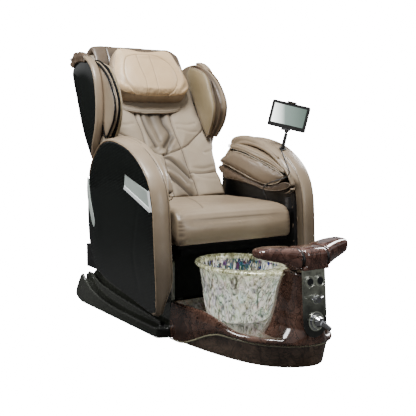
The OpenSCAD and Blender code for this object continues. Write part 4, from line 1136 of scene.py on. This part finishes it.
def glass_mat(name, inside_skin):
    """Rippled lustre glass: silvery outside, a dark rainbow of facets inside, an olive-gold ledge; both skins glow by
    emission, a painted light.
    """
    m = Mat(name, IOR=1.5, Coat_Weight=1.0, Coat_Roughness=0.03)
    tall = m.stretch((1, 1, 0.36))
    lumps = m.cells(52, at=tall, feature="SMOOTH_F1")
    fine = m.noise(50, 5, 0.55, 1.8, at=tall)
    height = m.axis(m.pos, 2)
    rim = m.level(height, 0.343, 0.352, 0, 1)
    facet = m.node("TexVoronoi", {"Vector": tall, "Scale": 95.0 if inside_skin else 60.0})
    tint = m.node("HueSaturation", {"Color": facet.outputs["Color"], "Saturation": 1.5 if inside_skin else 0.9,
        "Value": 0.8}).outputs[0]
    if inside_skin:
        body = m.ramp(m.noise(54, 4, 0.62, 1.5, at=tall), [(0.43, (0.003, 0.003, 0.01)),
            (0.48, (0.05, 0.025, 0.15)), (0.515, (0.07, 0.16, 0.18)), (0.545, (0.7, 0.64, 0.4)),
            (0.59, (1.0, 1.0, 0.96))])
        body = m.mix(0.1, body, tint)
    else:
        body = m.ramp(fine, [(0.32, (0.26, 0.29, 0.22)), (0.42, (0.58, 0.63, 0.5)), (0.5, (0.82, 0.86, 0.71)),
            (0.59, (1.0, 1.0, 0.9))])
        body = m.mix(0.18, body, tint)
        body = m.mix(m.level(height, 0.285, 0.345, 0.0, 0.45), body, (0.62, 0.6, 0.34))
    gold = m.ramp(fine, [(0.32, (0.16, 0.15, 0.07)), (0.46, (0.4, 0.4, 0.22)), (0.56, (0.6, 0.61, 0.4)),
        (0.68, (0.95, 0.95, 0.82))])
    m.set("Base Color", m.mix(rim, body, gold))
    shine = m.noise(60, 3, 0.6, 1.0, at=tall)
    m.set("Metallic", m.level(shine, 0.42, 0.62, *((0.15, 0.85) if inside_skin else (0.0, 0.55))))
    # painted light: the glass glows by emission, brightest on the lighter streaks
    m.set("Emission Color", m.mix(rim, body, gold))
    m.set("Emission Strength", m.level(fine, 0.36, 0.62, *((0.25, 0.85) if inside_skin else (0.12, 0.85))))
    m.set("Roughness", m.level(fine, 0.3, 0.7, 0.05, 0.16))
    if not inside_skin:
        m.set("Transmission Weight", m.level(fine, 0.45, 0.7, 0.35, 0.05))
    m.set("Thin Film Thickness", m.level(m.noise(26, 3, 0.5, 1.5, at=tall), 0.3, 0.7, 180, 700))
    m.set("Thin Film IOR", 1.45)
    m.bump((lumps, 0.9, 5.5), (fine, 0.55, 2.6))
    return m.m


finish(ob, glass_mat("crystal_outer", False), "base", ["bowl"])
ob.data.materials.append(glass_mat("crystal_inner", True))
ctr = np.array([p.center for p in ob.data.polygons]) / MM
nrm = np.array([p.normal for p in ob.data.polygons])
radial = np.stack([ctr[:, 0], ctr[:, 1] + 462, np.zeros(len(ctr))], 1)
inner = ((radial * nrm).sum(1) < 0) & (ctr[:, 2] < 360) & (ctr[:, 2] > 138)
ob.data.polygons.foreach_set("material_index", inner.astype(int))


# ---- tablet
def place_tab(c):
    """Tablet's own frame (x right, y back, z up) to world millimetres."""
    a, b = math.radians(13.4), math.radians(-39)
    x, y, z = c[:, 0], c[:, 1], c[:, 2]
    x1, z1 = x * math.cos(a) + z * math.sin(a), -x * math.sin(a) + z * math.cos(a)
    return np.stack([394 + x1 * math.cos(b) - y * math.sin(b), -303 + x1 * math.sin(b) + y * math.cos(b),
        1007 + z1], 1)


def rrect(w, h, r, n=6):
    pts = []
    for cx, cy, a0 in ((w - r, h - r, 0), (-w + r, h - r, 90), (-w + r, -h + r, 180), (w - r, -h + r, 270)):
        for k in range(n + 1):
            a = math.radians(a0 + 90 * k / n)
            pts.append((cx + r * math.cos(a), cy + r * math.sin(a)))
    return np.array(pts)


def tab_plate(name, pts, y0, y1, bevel, mat, replaces=()):
    ob = plate(name, [pts], y0, y1, bevel, lambda c: place_tab(c[:, [0, 2, 1]]))
    return finish(ob, mat, "tablet", replaces, smooth=False)


def screen_mat():
    m = Mat("screen_glass", Roughness=0.08, Coat_Weight=1.0, Coat_Roughness=0.02)
    at = m.node("Mapping", {"Vector": m.pos, "Location": (-0.394, 0.303, 0.0)}).outputs[0]
    turn = m.node("Mapping", {"Vector": at, "Rotation": (0, 0, math.radians(39))}).outputs[0]
    # painted glare: the screen is very bright at its left side, fading to dark at the right, in colour and in glow
    col = m.ramp(m.level(m.axis(turn, 0), -0.085, 0.085), [(0.0, (3.0, 3.1, 3.0)), (0.18, (1.7, 1.85, 1.75)),
        (0.4, (0.27, 0.35, 0.315)), (1.0, (0.105, 0.15, 0.125))])
    m.set("Base Color", m.mix(0.75, col, (0.05, 0.06, 0.055)))
    m.set("Emission Color", col)
    m.set("Emission Strength", 0.95)
    m.bump((m.noise(3, 2), 0.02, 0.5))
    return m.m


tab_plate("tablet_case", rrect(92.5, 62.5, 9), -6.2, 7, 2.2, BLACKP, ["tablet"])
tab_plate("tablet_screen", rrect(78, 45.5, 2) + [-1, 3], -7.0, -5.8, 0.3, screen_mat())
tab_plate("tablet_clamp_spine", rrect(22, 70.5, 4), 7.2, 14.8, 1.5, BLACKP)
for nm, zc in (("upper", 66.1), ("lower", -67.1)):
    jaw = rrect(22, 3.4 if nm == "upper" else 4.3, 1.6) + [0, zc]
    tab_plate(f"tablet_jaw_{nm}", jaw, -9.8, 8, 1.2, CHROME)


stalk = curve([(375.5, -280.5, 852), (378, -287, 880), (381.5, -293, 908), (384, -296.5, 924)], 4)
tube("tablet_stalk", stalk, 8.6, BLACKP, "post", sides=20)


# ---- CAD nodes that stay, with their finishes
FINISHES = ((STEEL, "base_frame back_frame"), (FLAT, "front_panel seat_frame"), (BEAD, "belt_trim"),
    (BLACKP, "rear_housing drain_pump arm_core_left arm_core_right switch_housing tablet_post"),
    (GREYP, "jet_impeller control_box rocker_up rocker_down massage_carriage"), (CHROME,
    "bowl_fittings valve_trim diverter_handle mixer_lever sprayer_holder hand_sprayer"),
    (DIMCHROME, "air_button_left air_button_right"), (MIRROR, "control_panel"), (BRASS, "water_inlets"),
    (BLACK, "back_shell"))
for mat, nodes in FINISHES:
    for ob in map(NODE.get, nodes.split()):
        if not ob.data.materials:
            ob.data.materials.append(mat)
        for held in ob.material_slots:
            held.material = mat
        if mat is not BEAD:
            b = ob.modifiers.new("edge", "BEVEL")
            b.width, b.segments, b.limit_method, b.angle_limit = 0.0006, 2, "ANGLE", math.radians(40)


# ---- studio
floor = make("floor", [(-9000, -9000, -1), (9000, -9000, -1), (9000, 9000, -1), (-9000, 9000, -1)], [(0, 1, 2, 3)])
fm = Mat("floor_pale", Roughness=0.8)
pale = fm.ramp(fm.noise(2, 2), [(0.3, (0.13, 0.13, 0.13)), (0.7, (0.15, 0.15, 0.15))])
glossy = fm.node("LightPath").outputs["Is Glossy Ray"]
fm.set("Base Color", fm.mix(glossy, pale, (0.01, 0.01, 0.01)))
white = fm.node("Emission", {"Color": (1.0, 1.0, 1.0), "Strength": SWEEP})
fm.put(fm.t.nodes["Material Output"].inputs[0], fm.seen("Is Camera Ray", fm.b, white))
floor.data.materials.append(fm.m)

world = bpy.data.worlds.new("studio")
scene.world = world
sky = Tree(world)
up = sky.axis(sky.node("TexCoord").outputs["Generated"], 2)
# soft boxes above the horizon and overhead, dark between them so that polish keeps its contrast
bands = ((0.5, 0.02), (0.545, 0.04), (0.585, 0.55), (0.66, 0.65), (0.7, 0.12), (0.8, 0.1), (0.86, 1.0))
bands = [(at, (c, c, 1.02 * c)) for at, c in bands]
glow = sky.ramp(sky.level(up, -1, 1), [(0.0, (0.03, 0.03, 0.03)), *bands, (1.0, (1.0, 1.0, 1.0))])
around = sky.node("Background", {"Color": glow, "Strength": 0.55})
backdrop = sky.node("Background", {"Color": (1.0, 1.0, 1.0), "Strength": SWEEP})
sky.put(sky.t.nodes["World Output"].inputs["Surface"], sky.seen("Is Camera Ray", around, backdrop))


def area(name, at, target, size, power, size_y=None):
    d = bpy.data.lights.new(name, "AREA")
    d.energy, d.size = power, size
    if size_y:
        d.shape, d.size_y = "RECTANGLE", size_y
    o = bpy.data.objects.new(name, d)
    o.location = at
    o.rotation_euler = Vector(np.subtract(target, at)).to_track_quat("-Z", "Y").to_euler()
    scene.collection.objects.link(o)
    return o


area("key", (-0.75, -0.85, 3.2), (0, 0, 0.7), 0.9, 165)
area("rim_right", (2.6, 0.3, 1.8), (0, 0, 0.8), 0.7, 75, 1.8)
area("rim_left", (-2.4, 1.0, 1.9), (0, 0.2, 0.9), 0.5, 55, 1.8)
area("front_strip", (0.9, -3.4, 1.5), (0, -0.8, 0.35), 0.4, 22, 1.5)
